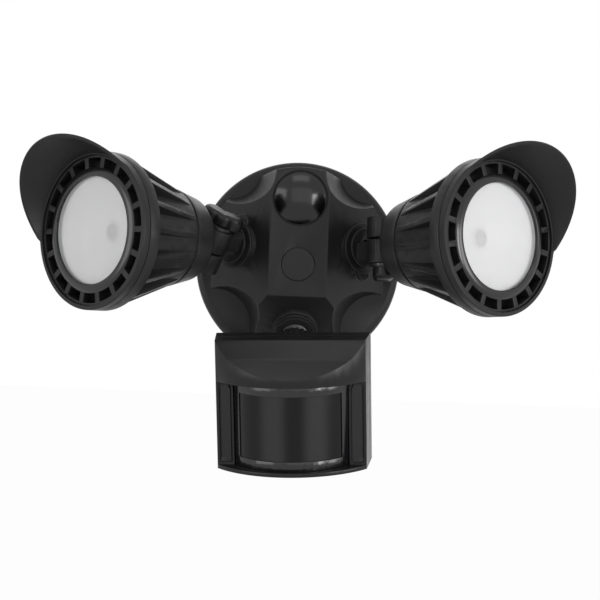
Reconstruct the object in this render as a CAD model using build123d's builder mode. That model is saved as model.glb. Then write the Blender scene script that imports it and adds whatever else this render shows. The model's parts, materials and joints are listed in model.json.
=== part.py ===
"""Wall-mounted security light: a round canopy, two swivelling lamp heads and a motion sensor.

Millimetres. +Z is up, the wall is the plane y = 0 and the light faces -Y. The origin is the centre
of the canopy's back on the wall. "Depth" is distance from the wall; each lamp head and the sensor has
its own frame, whose origin is the centre of its joint.
"""

from build123d import *
from math import atan2, cos, degrees, pi, radians, sin, sqrt, tan
import os

# ---------------------------------------------------------------- driving dimensions
RUN_FIT = 0.08          # radial play of a shaft that turns in its bore
SEAT_GAP = 0.2          # play between flat faces that slide on each other
THREAD_FIT = 0.05       # radial play of a fixed screw or nut

# canopy
CANOPY_RADIUS = 62.5
WALL_GASKET_THICKNESS = 2.0
RIM_DEPTH = 10.0        # from the gasket to the ledge
RIM_ROUND = 5.0
CANOPY_DEPTH = 42.0     # from the wall to the front flat
CANOPY_WALL = 3.5
FRONT_ROUND = 1.2
STAR_RADIUS = 58.0
FRONT_HALF_WIDTH = 17.5
FRONT_BOTTOM = -19.0    # height where the bottom facet starts
SIDE_AZIMUTH = 40.5     # side facets, outward from straight ahead
BOTTOM_SLOPE = 35.0     # the sensor's facet faces this far below straight ahead
UPPER_SCOOP = (43.0, 57.4, 28.5)    # across, up, radius at the front
LOWER_SCOOP = (49.5, -38.0, 31.0)
SCOOP_DRAFT = 18.0
TOP_BOSS_HEIGHT = 39.5
TOP_BOSS_RADIUS = 18.5
CENTRE_POST_RADIUS = 8.0
CENTRE_CAP_RADIUS = 10.0
CENTRE_CAP_THICKNESS = 3.0
CENTRE_SCREW_RADIUS = 3.0
CENTRE_SCREW_HEAD = 5.5
CENTRE_HEAD_HEIGHT = 3.5
CENTRE_HEAD_SINK = 4.0  # depth of the head's recess below the cap
CAP_PROUD = 0.3
SCREW_CLEARANCE = 0.3   # radial, round a screw or its head in a through hole
DRIVER_SLOT = (8.0, 1.2, 1.4)       # long, wide and deep, in the centre screw's head
PLUG_RADIUS = 15.5
PLUG_RISE = 5.0
PLUG_EDGE = 1.8         # height of the plug's rim below its dome
PLUG_SEAT = 1.5         # depth of the plug's recess
PLUG_PLAY = 1.0         # radial gap round the plug in its recess
PLUG_TUBE_WALL = 2.5
PLUG_TUBE_LENGTH = 11.0
GASKET_INSET = 0.5      # inside the canopy's rim
GASKET_WIDTH = 6.0

# the strap behind the canopy
STRAP_LENGTH = 108.0
STRAP_WIDTH = 22.0
STRAP_THICKNESS = 2.0
SLOT_RADIUS = 2.4
SLOT_CENTRE = 39.7
SLOT_RUN = 9.6          # between the ends of a slot's centre line
STRAP_CORNER = 4.0
STRAP_EYE_RADIUS = 15.0 # the wider middle of the strap
STRAP_HUB_RADIUS = 7.0
STRAP_HUB_HEIGHT = 4.0
GROUND_ACROSS = -22.0
GROUND_SCREW_RADIUS = 2.0
GROUND_HEAD_RADIUS = 4.0
GROUND_HEAD_HEIGHT = 2.4

# ports and arms
SIDE_PORT = (37.3, 11.0)            # across and up, on the port's pad
PORT_PAD_RISE = 1.5
PORT_PAD_RADIUS = 14.0
BOTTOM_PAD_RADIUS = 13.4
PORT_PAD_DEPTH = 7.0
PORT_GASKET_THICKNESS = 1.5
PORT_GASKET_INSET = 0.3             # inside the pad's edge
PORT_GASKET_PLAY = 0.5              # radial, round the stub
BOTTOM_PORT_DROP = 23.5             # down the bottom facet from its top edge to the port
STUB_RADIUS = 9.6
STUB_LENGTH = 20.0
WIRE_BORE_RADIUS = 5.0
ARM_RING_RADIUS = 15.2
ARM_RING_THICKNESS = 2.2
ARM_LOBE_RADIUS = 4.6
LOBE_SLIT = 0.8                     # width and depth of the split in the lobe
BOTTOM_RING_RADIUS = 13.0
EDGE_ROUND = 0.6                    # on small machined edges
FLANGE_RADIUS = 12.0
FLANGE_THICKNESS = 2.0
LOCK_NUT_ACROSS = 26.0
LOCK_NUT_THICKNESS = 4.5

# knuckle between arm and lamp head
HEAD_AIM = {"left": (42.7, 1.9), "right": (39.8, 4.5)}     # outward and up, in degrees
KNUCKLE_REACH = 20.8                # from the port's pad to the pin
KNUCKLE_RADIUS = 10.0
SEAM_OFFSET = -4.3                  # along the pin, from the head's axis
ARM_HALF = 14.0
HEAD_HALF = 12.5
TOOTH_COUNT = 36
TOOTH_HEIGHT = 0.8
TEETH_GAP = 0.9
TOOTH_OVERCUT = 0.5                 # how far the cutter starts outside the rim
TOOTH_LAND = 2.0                    # flat left between the pin's hole and the teeth
NECK_WIDTH = 16.0
NECK_CORNER = 3.0
NECK_DEPTH = 0.5                    # how far a neck is sunk into its flange
NECK_GAP = 1.5                      # clear round the arm's knuckle
NECK_INSET = 1.0                    # narrower than the knuckle half that it carries
PIN_RADIUS = 4.0
PIN_HEAD_ACROSS = 13.0
PIN_HEAD_HEIGHT = 5.0
PIN_WASHER_THICKNESS = 2.0
PIN_WASHER_RADIUS = 8.5
KNOB_LENGTH = 25.4
KNOB_WIDTH = 12.5
KNOB_THICKNESS = 8.0
KNOB_CROWN = 2.0                    # left solid over the bolt's end
KNOB_ROUND = 1.5
BOLT_END_GAP = 0.5                  # between the bolt's end and the bottom of its hole
PIN_HEAD_SINK = 0.3                 # the bolt head's face below the knuckle's end
HEX_PLAY = 0.1                      # radial, round the bolt's head
PIN_ROLL = {"left": 28.0, "right": 178.0}   # lean of the pin from upright, inboard
KNOB_LIES = {"left": (0.92, 0.0, -0.39), "right": (0.0, 1.0, 0.0)}

# lamp head, measured along its axis from the pin
HEAD_REAR = 20.0
HEAD_SEAM = 38.5
COLLAR_REAR = 81.6
VISOR_RING_REAR = 89.6
HEAD_FRONT = 94.5
REAR_RADIUS = 24.0
SEAM_RADIUS = 28.7
COLLAR_RADIUS = 44.2
SLOT_OUTER = 40.3
SLOT_INNER = 34.8
FIN_COUNT = 18
REAR_CAP_WALL = 2.6
REAR_CAP_ROUND = 5.0
NECK_BORE_RADIUS = 3.5              # wire way from the knuckle into the head
FIN_THICKNESS = 3.2
FIN_FOOT = 1.5                      # smooth band behind the channels, where they run out
COLLAR_BEVEL = 1.2
SPIGOT_WALL = 1.4
WIRE_HOLE_OFFSET = 12.0
WIRE_HOLE_RADIUS = 2.0
SEAL_THICKNESS = 1.0
SEAL_INSET = 0.7                    # inside the edges it lies between
CHAMBER_RADIUS = 24.0
SCREW_TURNS = (0.0, 110.0, 250.0)   # degrees round the head from the pin's direction
SCREW_CIRCLE = 19.6
SCREW_BOSS_RADIUS = 3.4
SCREW_GRIP = 8.0
CASE_SCREW_RADIUS = 1.5
CASE_SCREW_HEAD = 2.8
CASE_SCREW_SINK = 2.4
CASE_SCREW_PLAY = 0.3               # radial, round the screws and their heads
CASE_SCREW_INSET = 0.4              # head's face below the surface
CASE_SCREW_CROSS = (3.0, 0.8, 0.6)  # long, wide and deep
CASE_SCREW_END_GAP = 1.0            # between a screw's end and the bottom of its hole
DRIVER_LENGTH = 20.0
DRIVER_THICKNESS = 1.6
DRIVER_EDGE_GAP = 0.3               # to the chamber's wall
TRANSFORMER = (12.0, 14.0, 11.0)    # along the head, across and high
DRIVER_CAN_RADIUS = 4.0
DRIVER_CAN_HEIGHT = 13.0
DRIVER_PARTS_ACROSS = 8.0
LENS_RADIUS = 31.4
LENS_VISIBLE_RADIUS = 29.7
LENS_THICKNESS = 2.5
BEZEL_THICKNESS = 1.9
BEZEL_LIP = 1.2
BEZEL_BEVEL = 0.8
BEZEL_DROP = 0.3                    # inner edge of the bezel below its front
REFLECTOR_RADIUS = 30.2
REFLECTOR_DEPTH = 12.5
REFLECTOR_WALL = 1.2
REFLECTOR_RIM = 2.0
THROAT_PLAY = 1.5                   # radial, round the light source
LED_RADIUS = 3.2
LED_HEIGHT = 1.0
LED_BOARD_RADIUS = 27.2
LED_BOARD_THICKNESS = 1.6
CUP_FLOOR_THICKNESS = 4.0
VISOR_LENGTH = 22.5
VISOR_FLARE = 25.0
VISOR_HALF_SPAN = 68.0
VISOR_THICKNESS = 1.8
VISOR_RING = 1.6                    # plain rear end of the visor's ring
VISOR_ROLL = 32.0                   # outboard from twelve o'clock

# sensor, in the frame of its ball joint
BALL_REACH = 24.0                   # from the bottom port's pad to the ball's centre
BALL_RADIUS = 7.5
LINER_OUTER = 9.2
LINER_TOP = 1.0
LINER_BOTTOM = -4.0
STEM_RADIUS = 3.5
STEM_FLARE = 13.0                   # where the neck starts to widen, from the ball's centre
STEM_ROOT_RADIUS = 8.0              # where the neck meets the flange
SOCKET_RADIUS = 11.0
SOCKET_LIP = 4.4                    # from the ball's centre to the open end
CLAMP_NUT_RADIUS = 13.0
CLAMP_NUT_FRONT = 0.4
CLAMP_NUT_REAR = 9.0
CLAMP_MOUTH_RADIUS = 6.6
KNURL_COUNT = 24
KNURL_RADIUS = 1.0
CLAMP_GAP = 0.3                     # between the socket's lip and the nut's shoulder
SENSOR_PITCH = 8.0                  # nose down
SENSOR_YAW = -4.6                   # to the left
SENSOR_ROLL = -3.2
SENSOR_BACK = -6.0                  # the rear face, along the sensor's own depth axis
SENSOR_TOP = 14.0
SENSOR_HEIGHT = 75.6
SENSOR_BOX_DEPTH = 24.0
SENSOR_SPLIT = 10.0                 # depth of the joint line between the two shells
SENSOR_REAR_HALF_WIDTH = 45.4
SENSOR_FRONT_HALF_WIDTH = 43.3
SENSOR_BULGE = 20.0
SENSOR_WALL = 2.4
ROOF_FOLD = (7.1, 9.1)              # forward and down from the top edge to the fold
ROOF_TIP_DROP = 19.6
HOOD_HEIGHT = 24.0
HOOD_ROOT = 3.0                     # how far the hood and the floor run back into the box
FLOOR_THICKNESS = 2.3
EYE_RADIUS = 40.0
EYE_HALF_WIDTH = 33.0
EYE_SETBACK = 3.0                   # behind the hood's lip
EYE_WALL = 2.2
EYE_REAR = 14.0                     # where the lens frame ends, in front of the sensor's back
LENS_INSET = 0.6                    # the window's face behind the frame's
LENS_REAR_INSET = 0.4
WINDOW_HALF_WIDTH = 29.5
WINDOW_BAND = 5.8
SPLIT_GAP = 0.4                     # shadow line between the two shells
SOCKET_DEPTH = 12.0                 # from the ball's centre into the shell
CORNER_SCREW_INSET = 8.0            # from the sensor's edges to its case screws
SENSOR_BOSS_RADIUS = 3.6
SENSOR_WIRE_RADIUS = 2.5
SENSOR_GRIP = 9.0                   # thread length of the case screws in the front shell
PANEL_RECESS = 1.2
PANEL_MARGIN = 1.4
PANEL_CORNER = 1.6
BOARD_DEPTH = 11.5
BOARD_THICKNESS = 1.6
BOARD_MARGIN = 1.6                  # between the board and the shell
BOARD_FOOT = (24.0, 12.0)           # across, and up from the board's lower edge
BOARD_FOOT_RADIUS = 2.2
RELAY = (15.0, 10.0, 5.0)           # wide, high and deep
RELAY_ACROSS = 18.0
DETECTOR_BASE_RADIUS = 4.6
DETECTOR_BASE_HEIGHT = 1.0
DETECTOR_RADIUS = 4.1
DETECTOR_HEIGHT = 3.5
DETECTOR_WINDOW = (4.0, 3.0, 0.5)   # wide, high and deep
DIAL_PROUD = 1.0
DIAL_RADIUS = 4.0
DIAL_SPACING = 14.0
DIAL_DEPTH = 17.0                   # in front of the sensor's back
DIAL_SLOT = (1.2, 0.9)              # wide and deep
DIAL_SHAFT = 1.5                    # how far a dial reaches above the floor

os.makedirs("parts", exist_ok=True)


def write(piece, name):
    """Label a finished piece and write its STEP file."""
    piece.label = name
    export_step(piece, f"parts/{name}.step")


# ---------------------------------------------------------------- frames
def at_depth(depth):
    """A plane parallel to the wall, with X across, its own Y up, facing out of the wall."""
    return Plane(origin=(0, -depth, 0), x_dir=(1, 0, 0), z_dir=(0, -1, 0))


def aim(azimuth, elevation, sign=1):
    """Unit vector: azimuth outward from straight ahead on the side of sign, and elevation up."""
    level = cos(radians(elevation))
    return Vector(
        sign * sin(radians(azimuth)) * level,
        -cos(radians(azimuth)) * level,
        sin(radians(elevation)),
    )


def upright(axis):
    """The direction nearest to straight up that is square to axis."""
    return (Vector(0, 0, 1) - axis * axis.Z).normalized()


def along(frame, distance):
    """The point this far along a frame's axis."""
    return frame.origin + frame.z_dir * distance


def radial_plane(frame):
    """The plane through a frame's axis: its X is the radius, its Y the distance along the axis."""
    return Plane(origin=frame.origin, x_dir=frame.x_dir, z_dir=frame.x_dir.cross(frame.z_dir))


def axis_of(frame):
    return Axis(frame.origin, frame.z_dir)


SIDES = {"left": -1, "right": 1}
BOTTOM_AXIS = aim(0, -BOTTOM_SLOPE)
PORT_STACK = PORT_GASKET_THICKNESS + SEAT_GAP     # pad to the arm's ring


def side_facet(side):
    """The sloping flat beside the canopy's front."""
    return Plane(
        origin=(SIDES[side] * FRONT_HALF_WIDTH, -CANOPY_DEPTH, 0),
        x_dir=(0, 0, 1),
        z_dir=aim(SIDE_AZIMUTH, 0, SIDES[side]),
    )


def bottom_facet():
    return Plane(origin=(0, -CANOPY_DEPTH, FRONT_BOTTOM), x_dir=(1, 0, 0), z_dir=BOTTOM_AXIS)


def port_centre(side):
    """Centre of a side port's pad, a little proud of its facet."""
    across, up = SIDE_PORT
    behind = (across - FRONT_HALF_WIDTH) * tan(radians(SIDE_AZIMUTH))
    rise = PORT_PAD_RISE / cos(radians(SIDE_AZIMUTH))
    return Vector(SIDES[side] * across, behind - rise - CANOPY_DEPTH, up)


def head_frame(side):
    """Origin at the knuckle pin, Z along the lamp's axis, X along the pin towards the knob."""
    azimuth, elevation = HEAD_AIM[side]
    axis = aim(azimuth, elevation, SIDES[side])
    inboard = axis.cross(upright(axis)) * SIDES[side]
    lean = radians(PIN_ROLL[side])
    pin = upright(axis) * cos(lean) + inboard * sin(lean)
    return Plane(origin=port_centre(side) + axis * KNUCKLE_REACH, x_dir=pin, z_dir=axis)


def sensor_port_frame():
    """Origin at the ball's centre, Z back along the stem to the port, X across."""
    pad = (
        Vector(0, -CANOPY_DEPTH, FRONT_BOTTOM)
        + Vector(0, sin(radians(BOTTOM_SLOPE)), -cos(radians(BOTTOM_SLOPE))) * BOTTOM_PORT_DROP
        + BOTTOM_AXIS * PORT_PAD_RISE
    )
    return Plane(origin=pad + BOTTOM_AXIS * BALL_REACH, x_dir=(1, 0, 0), z_dir=-BOTTOM_AXIS)


def bottom_port():
    """The pad of the port that the sensor's arm turns in, facing out of the canopy."""
    stem = sensor_port_frame()
    return Plane(origin=along(stem, BALL_REACH), x_dir=stem.x_dir, z_dir=-stem.z_dir)


def sensor_frame():
    """Origin at the ball's centre, X across the sensor, Y to its back, Z up its height."""
    centre = sensor_port_frame().origin
    return Plane(Location(tuple(centre), (SENSOR_PITCH, SENSOR_ROLL, SENSOR_YAW)))


# ---------------------------------------------------------------- canopy
def star_block(inset, edge_round=0.0):
    """The raised middle of the canopy, or with an inset the hollow inside it."""
    front = CANOPY_DEPTH - inset
    ledge = WALL_GASKET_THICKNESS + RIM_DEPTH - inset
    with BuildPart() as block:
        with BuildSketch(at_depth(ledge - 4)):
            Circle(STAR_RADIUS - inset)
        extrude(amount=front - ledge + 4)
        for across, up, radius in (UPPER_SCOOP, LOWER_SCOOP):
            for sign in (-1, 1):
                drop = CANOPY_DEPTH - WALL_GASKET_THICKNESS - RIM_DEPTH + inset
                with BuildSketch(at_depth(CANOPY_DEPTH)):
                    with Locations((sign * across, up)):
                        Circle(radius + inset)
                with BuildSketch(at_depth(CANOPY_DEPTH - drop)):
                    with Locations((sign * across, up)):
                        Circle(radius + inset - drop * tan(radians(SCOOP_DRAFT)))
                loft(mode=Mode.SUBTRACT)
        for facet in (side_facet("left"), side_facet("right"), bottom_facet()):
            with BuildSketch(facet.offset(-inset)):
                Rectangle(4 * CANOPY_RADIUS, 4 * CANOPY_RADIUS)
            extrude(amount=CANOPY_RADIUS, mode=Mode.SUBTRACT)
        if edge_round:
            on_front = block.edges().filter_by(lambda edge: abs(edge.center().Y + front) < 0.01)
            fillet(on_front, edge_round)
    return block.part


def make_canopy():
    core = star_block(CANOPY_WALL)
    raised = star_block(0, FRONT_ROUND)
    ports = [
        (head_frame("left").offset(-KNUCKLE_REACH), PORT_PAD_RADIUS),
        (head_frame("right").offset(-KNUCKLE_REACH), PORT_PAD_RADIUS),
        (bottom_port(), BOTTOM_PAD_RADIUS),
    ]
    with BuildPart() as canopy:
        with BuildSketch(at_depth(WALL_GASKET_THICKNESS)):
            Circle(CANOPY_RADIUS)
        extrude(amount=RIM_DEPTH)
        fillet(canopy.edges().filter_by(GeomType.CIRCLE).sort_by(Axis.Y)[0], RIM_ROUND)
        add(raised)
        with BuildSketch(at_depth(WALL_GASKET_THICKNESS)):
            Circle(CANOPY_RADIUS - CANOPY_WALL)
        extrude(amount=RIM_DEPTH - CANOPY_WALL, mode=Mode.SUBTRACT)
        add(core, mode=Mode.SUBTRACT)
        # bosses round the ports, the top opening and the centre screw
        for pad, pad_radius in ports:
            with BuildSketch(pad):
                Circle(pad_radius)
            extrude(amount=-PORT_PAD_DEPTH)
        with BuildSketch(at_depth(CANOPY_DEPTH - CANOPY_WALL)):
            with Locations((0, TOP_BOSS_HEIGHT)):
                Circle(TOP_BOSS_RADIUS - CANOPY_WALL / 2)
        extrude(amount=-PORT_PAD_DEPTH)
        with BuildSketch(at_depth(CANOPY_DEPTH - CANOPY_WALL)):
            Circle(CENTRE_POST_RADIUS)
        extrude(amount=-(CANOPY_DEPTH - CANOPY_WALL - RIM_DEPTH))
        # through holes
        for pad, pad_radius in ports:
            with BuildSketch(pad):
                Circle(STUB_RADIUS + RUN_FIT)
            extrude(amount=-2 * PORT_PAD_DEPTH, both=True, mode=Mode.SUBTRACT)
        with BuildSketch(at_depth(0)):
            with Locations((0, TOP_BOSS_HEIGHT)):
                Circle(STUB_RADIUS + THREAD_FIT)
            Circle(CENTRE_SCREW_RADIUS + SCREW_CLEARANCE)
        extrude(amount=CANOPY_DEPTH + 1, mode=Mode.SUBTRACT)
        # recesses for the centre cap with its screw head, and for the dome plug's flange
        with BuildSketch(at_depth(CANOPY_DEPTH)):
            Circle(CENTRE_CAP_RADIUS + THREAD_FIT)
        extrude(amount=-CENTRE_CAP_THICKNESS, mode=Mode.SUBTRACT)
        with BuildSketch(at_depth(CANOPY_DEPTH - CENTRE_CAP_THICKNESS)):
            Circle(CENTRE_SCREW_HEAD + SCREW_CLEARANCE)
        extrude(amount=-CENTRE_HEAD_SINK, mode=Mode.SUBTRACT)
        with BuildSketch(at_depth(CANOPY_DEPTH)):
            with Locations((0, TOP_BOSS_HEIGHT)):
                Circle(PLUG_RADIUS + PLUG_PLAY)
        extrude(amount=-PLUG_SEAT, mode=Mode.SUBTRACT)
    return canopy.part


def make_wall_gasket():
    with BuildPart() as gasket:
        with BuildSketch(at_depth(0)):
            Circle(CANOPY_RADIUS - GASKET_INSET)
            Circle(CANOPY_RADIUS - GASKET_INSET - GASKET_WIDTH, mode=Mode.SUBTRACT)
        extrude(amount=WALL_GASKET_THICKNESS)
    return gasket.part


def make_mounting_strap():
    """The crossbar that is screwed to the wall box; the centre screw threads into its hub."""
    with BuildPart() as strap:
        with BuildSketch(at_depth(0)):
            RectangleRounded(STRAP_LENGTH, STRAP_WIDTH, STRAP_CORNER)
            Circle(STRAP_EYE_RADIUS)
            with Locations((-SLOT_CENTRE, 0), (SLOT_CENTRE, 0)):
                SlotCenterToCenter(SLOT_RUN, 2 * SLOT_RADIUS, mode=Mode.SUBTRACT)
            with Locations((GROUND_ACROSS, 0)):
                Circle(GROUND_SCREW_RADIUS, mode=Mode.SUBTRACT)
        extrude(amount=STRAP_THICKNESS)
        with BuildSketch(at_depth(STRAP_THICKNESS)):
            Circle(STRAP_HUB_RADIUS)
        extrude(amount=STRAP_HUB_HEIGHT)
        with BuildSketch(at_depth(0)):
            Circle(CENTRE_SCREW_RADIUS + THREAD_FIT)
        extrude(amount=STRAP_THICKNESS + STRAP_HUB_HEIGHT, mode=Mode.SUBTRACT)
    return strap.part


def make_centre_screw():
    head_rear = CANOPY_DEPTH - CENTRE_CAP_THICKNESS - CENTRE_HEAD_SINK
    head_face = head_rear + CENTRE_HEAD_HEIGHT
    slot_length, slot_width, slot_depth = DRIVER_SLOT
    with BuildPart() as screw:
        with BuildSketch(at_depth(SEAT_GAP)):
            Circle(CENTRE_SCREW_RADIUS)
        extrude(amount=head_rear)
        with BuildSketch(at_depth(head_rear)):
            Circle(CENTRE_SCREW_HEAD)
        extrude(amount=CENTRE_HEAD_HEIGHT)
        fillet(screw.edges().sort_by(Axis.Y)[0], CENTRE_HEAD_HEIGHT / 3)
        with BuildSketch(at_depth(head_face)):
            Rectangle(slot_length, slot_width)
        extrude(amount=-slot_depth, mode=Mode.SUBTRACT)
    return screw.part


def make_centre_cap():
    with BuildPart() as cap:
        with BuildSketch(at_depth(CANOPY_DEPTH - CENTRE_CAP_THICKNESS)):
            Circle(CENTRE_CAP_RADIUS)
        extrude(amount=CENTRE_CAP_THICKNESS + CAP_PROUD)
        fillet(cap.edges().sort_by(Axis.Y)[0], EDGE_ROUND)
    return cap.part


def make_top_plug():
    """The domed plug that closes the unused top opening."""
    seat = CANOPY_DEPTH - PLUG_SEAT
    dome_radius = (PLUG_RADIUS**2 + PLUG_RISE**2) / (2 * PLUG_RISE)
    dome_centre = dome_radius - PLUG_RISE - PLUG_EDGE
    half_turn = atan2(PLUG_RADIUS, dome_radius - PLUG_RISE) / 2
    shoulder = (dome_radius * sin(half_turn), dome_centre - dome_radius * cos(half_turn))
    with BuildPart() as plug:
        with BuildSketch(Plane(origin=(0, -seat, TOP_BOSS_HEIGHT), x_dir=(1, 0, 0), z_dir=(0, 0, 1))):
            with BuildLine():
                Line((0, 0), (PLUG_RADIUS, 0))
                Line((PLUG_RADIUS, 0), (PLUG_RADIUS, -PLUG_EDGE))
                ThreePointArc((PLUG_RADIUS, -PLUG_EDGE), shoulder, (0, -PLUG_EDGE - PLUG_RISE))
                Line((0, -PLUG_EDGE - PLUG_RISE), (0, 0))
            make_face()
        revolve(axis=Axis((0, 0, TOP_BOSS_HEIGHT), (0, 1, 0)))
        with BuildSketch(at_depth(seat)):
            with Locations((0, TOP_BOSS_HEIGHT)):
                Circle(STUB_RADIUS)
                Circle(STUB_RADIUS - PLUG_TUBE_WALL, mode=Mode.SUBTRACT)
        extrude(amount=-PLUG_TUBE_LENGTH)
    return plug.part


def make_port_gasket(pad, pad_radius):
    """Rubber washer between a port's pad and the ring of the arm that turns on it."""
    with BuildPart() as gasket:
        with BuildSketch(pad):
            Circle(pad_radius - PORT_GASKET_INSET)
            Circle(STUB_RADIUS + PORT_GASKET_PLAY, mode=Mode.SUBTRACT)
        extrude(amount=PORT_GASKET_THICKNESS)
    return gasket.part


def make_ground_screw():
    """Green earthing screw in the strap."""
    with BuildPart() as screw:
        with BuildSketch(at_depth(STRAP_THICKNESS)):
            with Locations((GROUND_ACROSS, 0)):
                Circle(GROUND_HEAD_RADIUS)
        extrude(amount=GROUND_HEAD_HEIGHT)
        with BuildSketch(at_depth(SEAT_GAP)):
            with Locations((GROUND_ACROSS, 0)):
                Circle(GROUND_SCREW_RADIUS - THREAD_FIT)
        extrude(amount=STRAP_THICKNESS)
    return screw.part


# ---------------------------------------------------------------- arms
def disc(frame, start, thickness, radius, bore=0.0):
    """A plain round plate across a frame's axis, from start, with an optional bore."""
    with BuildPart() as plate:
        with BuildSketch(frame.offset(start)):
            Circle(radius)
            if bore:
                Circle(bore, mode=Mode.SUBTRACT)
        extrude(amount=thickness)
    return plate.part


def turned(frame, outline):
    """A piece turned about a frame's axis, from (radius, distance along the axis) points."""
    with BuildPart() as piece:
        with BuildSketch(radial_plane(frame)):
            with BuildLine():
                Polyline(*outline, close=True)
            make_face()
        revolve(axis=axis_of(frame))
    return piece.part


def make_lock_nut(pad):
    """Hexagon nut on the arm's stub, inside the canopy."""
    with BuildPart() as nut:
        with BuildSketch(pad.offset(-PORT_PAD_DEPTH - SEAT_GAP)):
            RegularPolygon(LOCK_NUT_ACROSS / 2, 6, major_radius=False)
            Circle(STUB_RADIUS + THREAD_FIT, mode=Mode.SUBTRACT)
        extrude(amount=-LOCK_NUT_THICKNESS)
    return nut.part


def make_arm_ring(side):
    """The swivel ring on an arm, with its split locking lobe on the knob's side."""
    base = head_frame(side).offset(PORT_STACK - KNUCKLE_REACH)
    with BuildPart() as ring:
        with BuildSketch(base):
            Circle(ARM_RING_RADIUS)
            with Locations((ARM_RING_RADIUS, 0)):
                Circle(ARM_LOBE_RADIUS)
            Circle(STUB_RADIUS + THREAD_FIT, mode=Mode.SUBTRACT)
        extrude(amount=ARM_RING_THICKNESS)
        fillet(ring.edges().filter_by(GeomType.CIRCLE).filter_by(
            lambda edge: abs(edge.radius - STUB_RADIUS) > 1), EDGE_ROUND)
        with BuildSketch(base.offset(ARM_RING_THICKNESS - LOBE_SLIT)):
            with Locations((ARM_RING_RADIUS + 1.5 * LOBE_SLIT, 0)):
                Rectangle(LOBE_SLIT, 1.4 * ARM_LOBE_RADIUS)
        extrude(amount=LOBE_SLIT, mode=Mode.SUBTRACT)
    return ring.part


def make_sensor_arm_ring():
    base = bottom_port()
    return disc(base, PORT_STACK, ARM_RING_THICKNESS, BOTTOM_RING_RADIUS, STUB_RADIUS + THREAD_FIT)


def seam_teeth(frame, distance, facing):
    """Planes round the knuckle's rim, one for each tooth gap in the face at this distance along the pin."""
    centre = frame.origin + frame.x_dir * distance
    planes = []
    for index in range(TOOTH_COUNT):
        turn = 2 * pi * index / TOOTH_COUNT
        outward = frame.z_dir * cos(turn) + frame.y_dir * sin(turn)
        planes.append(Plane(
            origin=centre + outward * (KNUCKLE_RADIUS + TOOTH_OVERCUT),
            x_dir=(frame.x_dir * facing).cross(outward),
            z_dir=outward,
        ))
    return planes


def cut_teeth(frame, distance, facing):
    """Radial V grooves in the knuckle face; facing is +1 if the face looks along the pin, else -1."""
    pitch = 2 * pi * KNUCKLE_RADIUS / TOOTH_COUNT
    with BuildPart(mode=Mode.PRIVATE) as grooves:
        with BuildSketch(*seam_teeth(frame, distance, facing)):
            with BuildLine():
                Polyline((-pitch / 2, SEAT_GAP), (pitch / 2, SEAT_GAP), (0, -TOOTH_HEIGHT), close=True)
            make_face()
        extrude(amount=-(KNUCKLE_RADIUS - PIN_RADIUS - TOOTH_LAND))
    return grooves.part


def make_arm(side):
    """Cast arm: stub, flange, neck and the upper half of the toothed knuckle."""
    frame = head_frame(side)
    pad = -KNUCKLE_REACH
    flange = pad + PORT_STACK + ARM_RING_THICKNESS
    seam = SEAM_OFFSET + TEETH_GAP / 2
    middle = seam + ARM_HALF / 2
    neck_start = flange + FLANGE_THICKNESS - NECK_DEPTH
    pin_plane = Plane(origin=frame.origin + frame.x_dir * seam, x_dir=frame.z_dir, z_dir=frame.x_dir)
    with BuildPart() as arm:
        with BuildSketch(frame.offset(pad - STUB_LENGTH)):
            Circle(STUB_RADIUS)
        extrude(amount=STUB_LENGTH + PORT_STACK + ARM_RING_THICKNESS)
        with BuildSketch(frame.offset(flange)):
            Circle(FLANGE_RADIUS)
        extrude(amount=FLANGE_THICKNESS)
        fillet(arm.edges().filter_by(GeomType.CIRCLE).filter_by(
            lambda edge: abs(edge.radius - FLANGE_RADIUS) < 0.01), EDGE_ROUND)
        with BuildSketch(frame.offset(neck_start)):
            with Locations((middle, 0)):
                RectangleRounded(ARM_HALF - NECK_INSET, NECK_WIDTH, NECK_CORNER)
        extrude(amount=-neck_start - PIN_RADIUS / 2)
        with BuildSketch(pin_plane):
            Circle(KNUCKLE_RADIUS)
        extrude(amount=ARM_HALF)
        add(cut_teeth(frame, seam, -1), mode=Mode.SUBTRACT)
        with BuildSketch(pin_plane.offset(-1)):
            Circle(PIN_RADIUS + RUN_FIT)
        extrude(amount=ARM_HALF + 2, mode=Mode.SUBTRACT)
        with BuildSketch(frame.offset(pad - STUB_LENGTH)):
            Circle(WIRE_BORE_RADIUS)
        extrude(amount=STUB_LENGTH + KNUCKLE_REACH - KNUCKLE_RADIUS, mode=Mode.SUBTRACT)
    return arm.part


def make_knuckle_bolt(side):
    frame = head_frame(side)
    rear = SEAM_OFFSET - TEETH_GAP / 2 - HEAD_HALF
    knob_start = SEAM_OFFSET + TEETH_GAP / 2 + ARM_HALF + PIN_WASHER_THICKNESS + SEAT_GAP
    top = knob_start + KNOB_THICKNESS - KNOB_CROWN - BOLT_END_GAP
    base = Plane(origin=frame.origin + frame.x_dir * rear, x_dir=frame.z_dir, z_dir=frame.x_dir)
    with BuildPart() as bolt:
        with BuildSketch(base.offset(PIN_HEAD_SINK)):
            RegularPolygon(PIN_HEAD_ACROSS / 2, 6, major_radius=False)
        extrude(amount=PIN_HEAD_HEIGHT)
        with BuildSketch(base.offset(PIN_HEAD_HEIGHT)):
            Circle(PIN_RADIUS)
        extrude(amount=top - rear - PIN_HEAD_HEIGHT)
        end_edge = bolt.edges().filter_by(GeomType.CIRCLE).sort_by(Axis(base.origin, base.z_dir))[-1]
        chamfer(end_edge, EDGE_ROUND)
    return bolt.part


def make_knuckle_washer(side):
    frame = head_frame(side)
    start = SEAM_OFFSET + TEETH_GAP / 2 + ARM_HALF + SEAT_GAP
    pin = Plane(origin=frame.origin, x_dir=frame.z_dir, z_dir=frame.x_dir)
    return disc(pin, start, PIN_WASHER_THICKNESS - SEAT_GAP, PIN_WASHER_RADIUS, PIN_RADIUS + THREAD_FIT)


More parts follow.
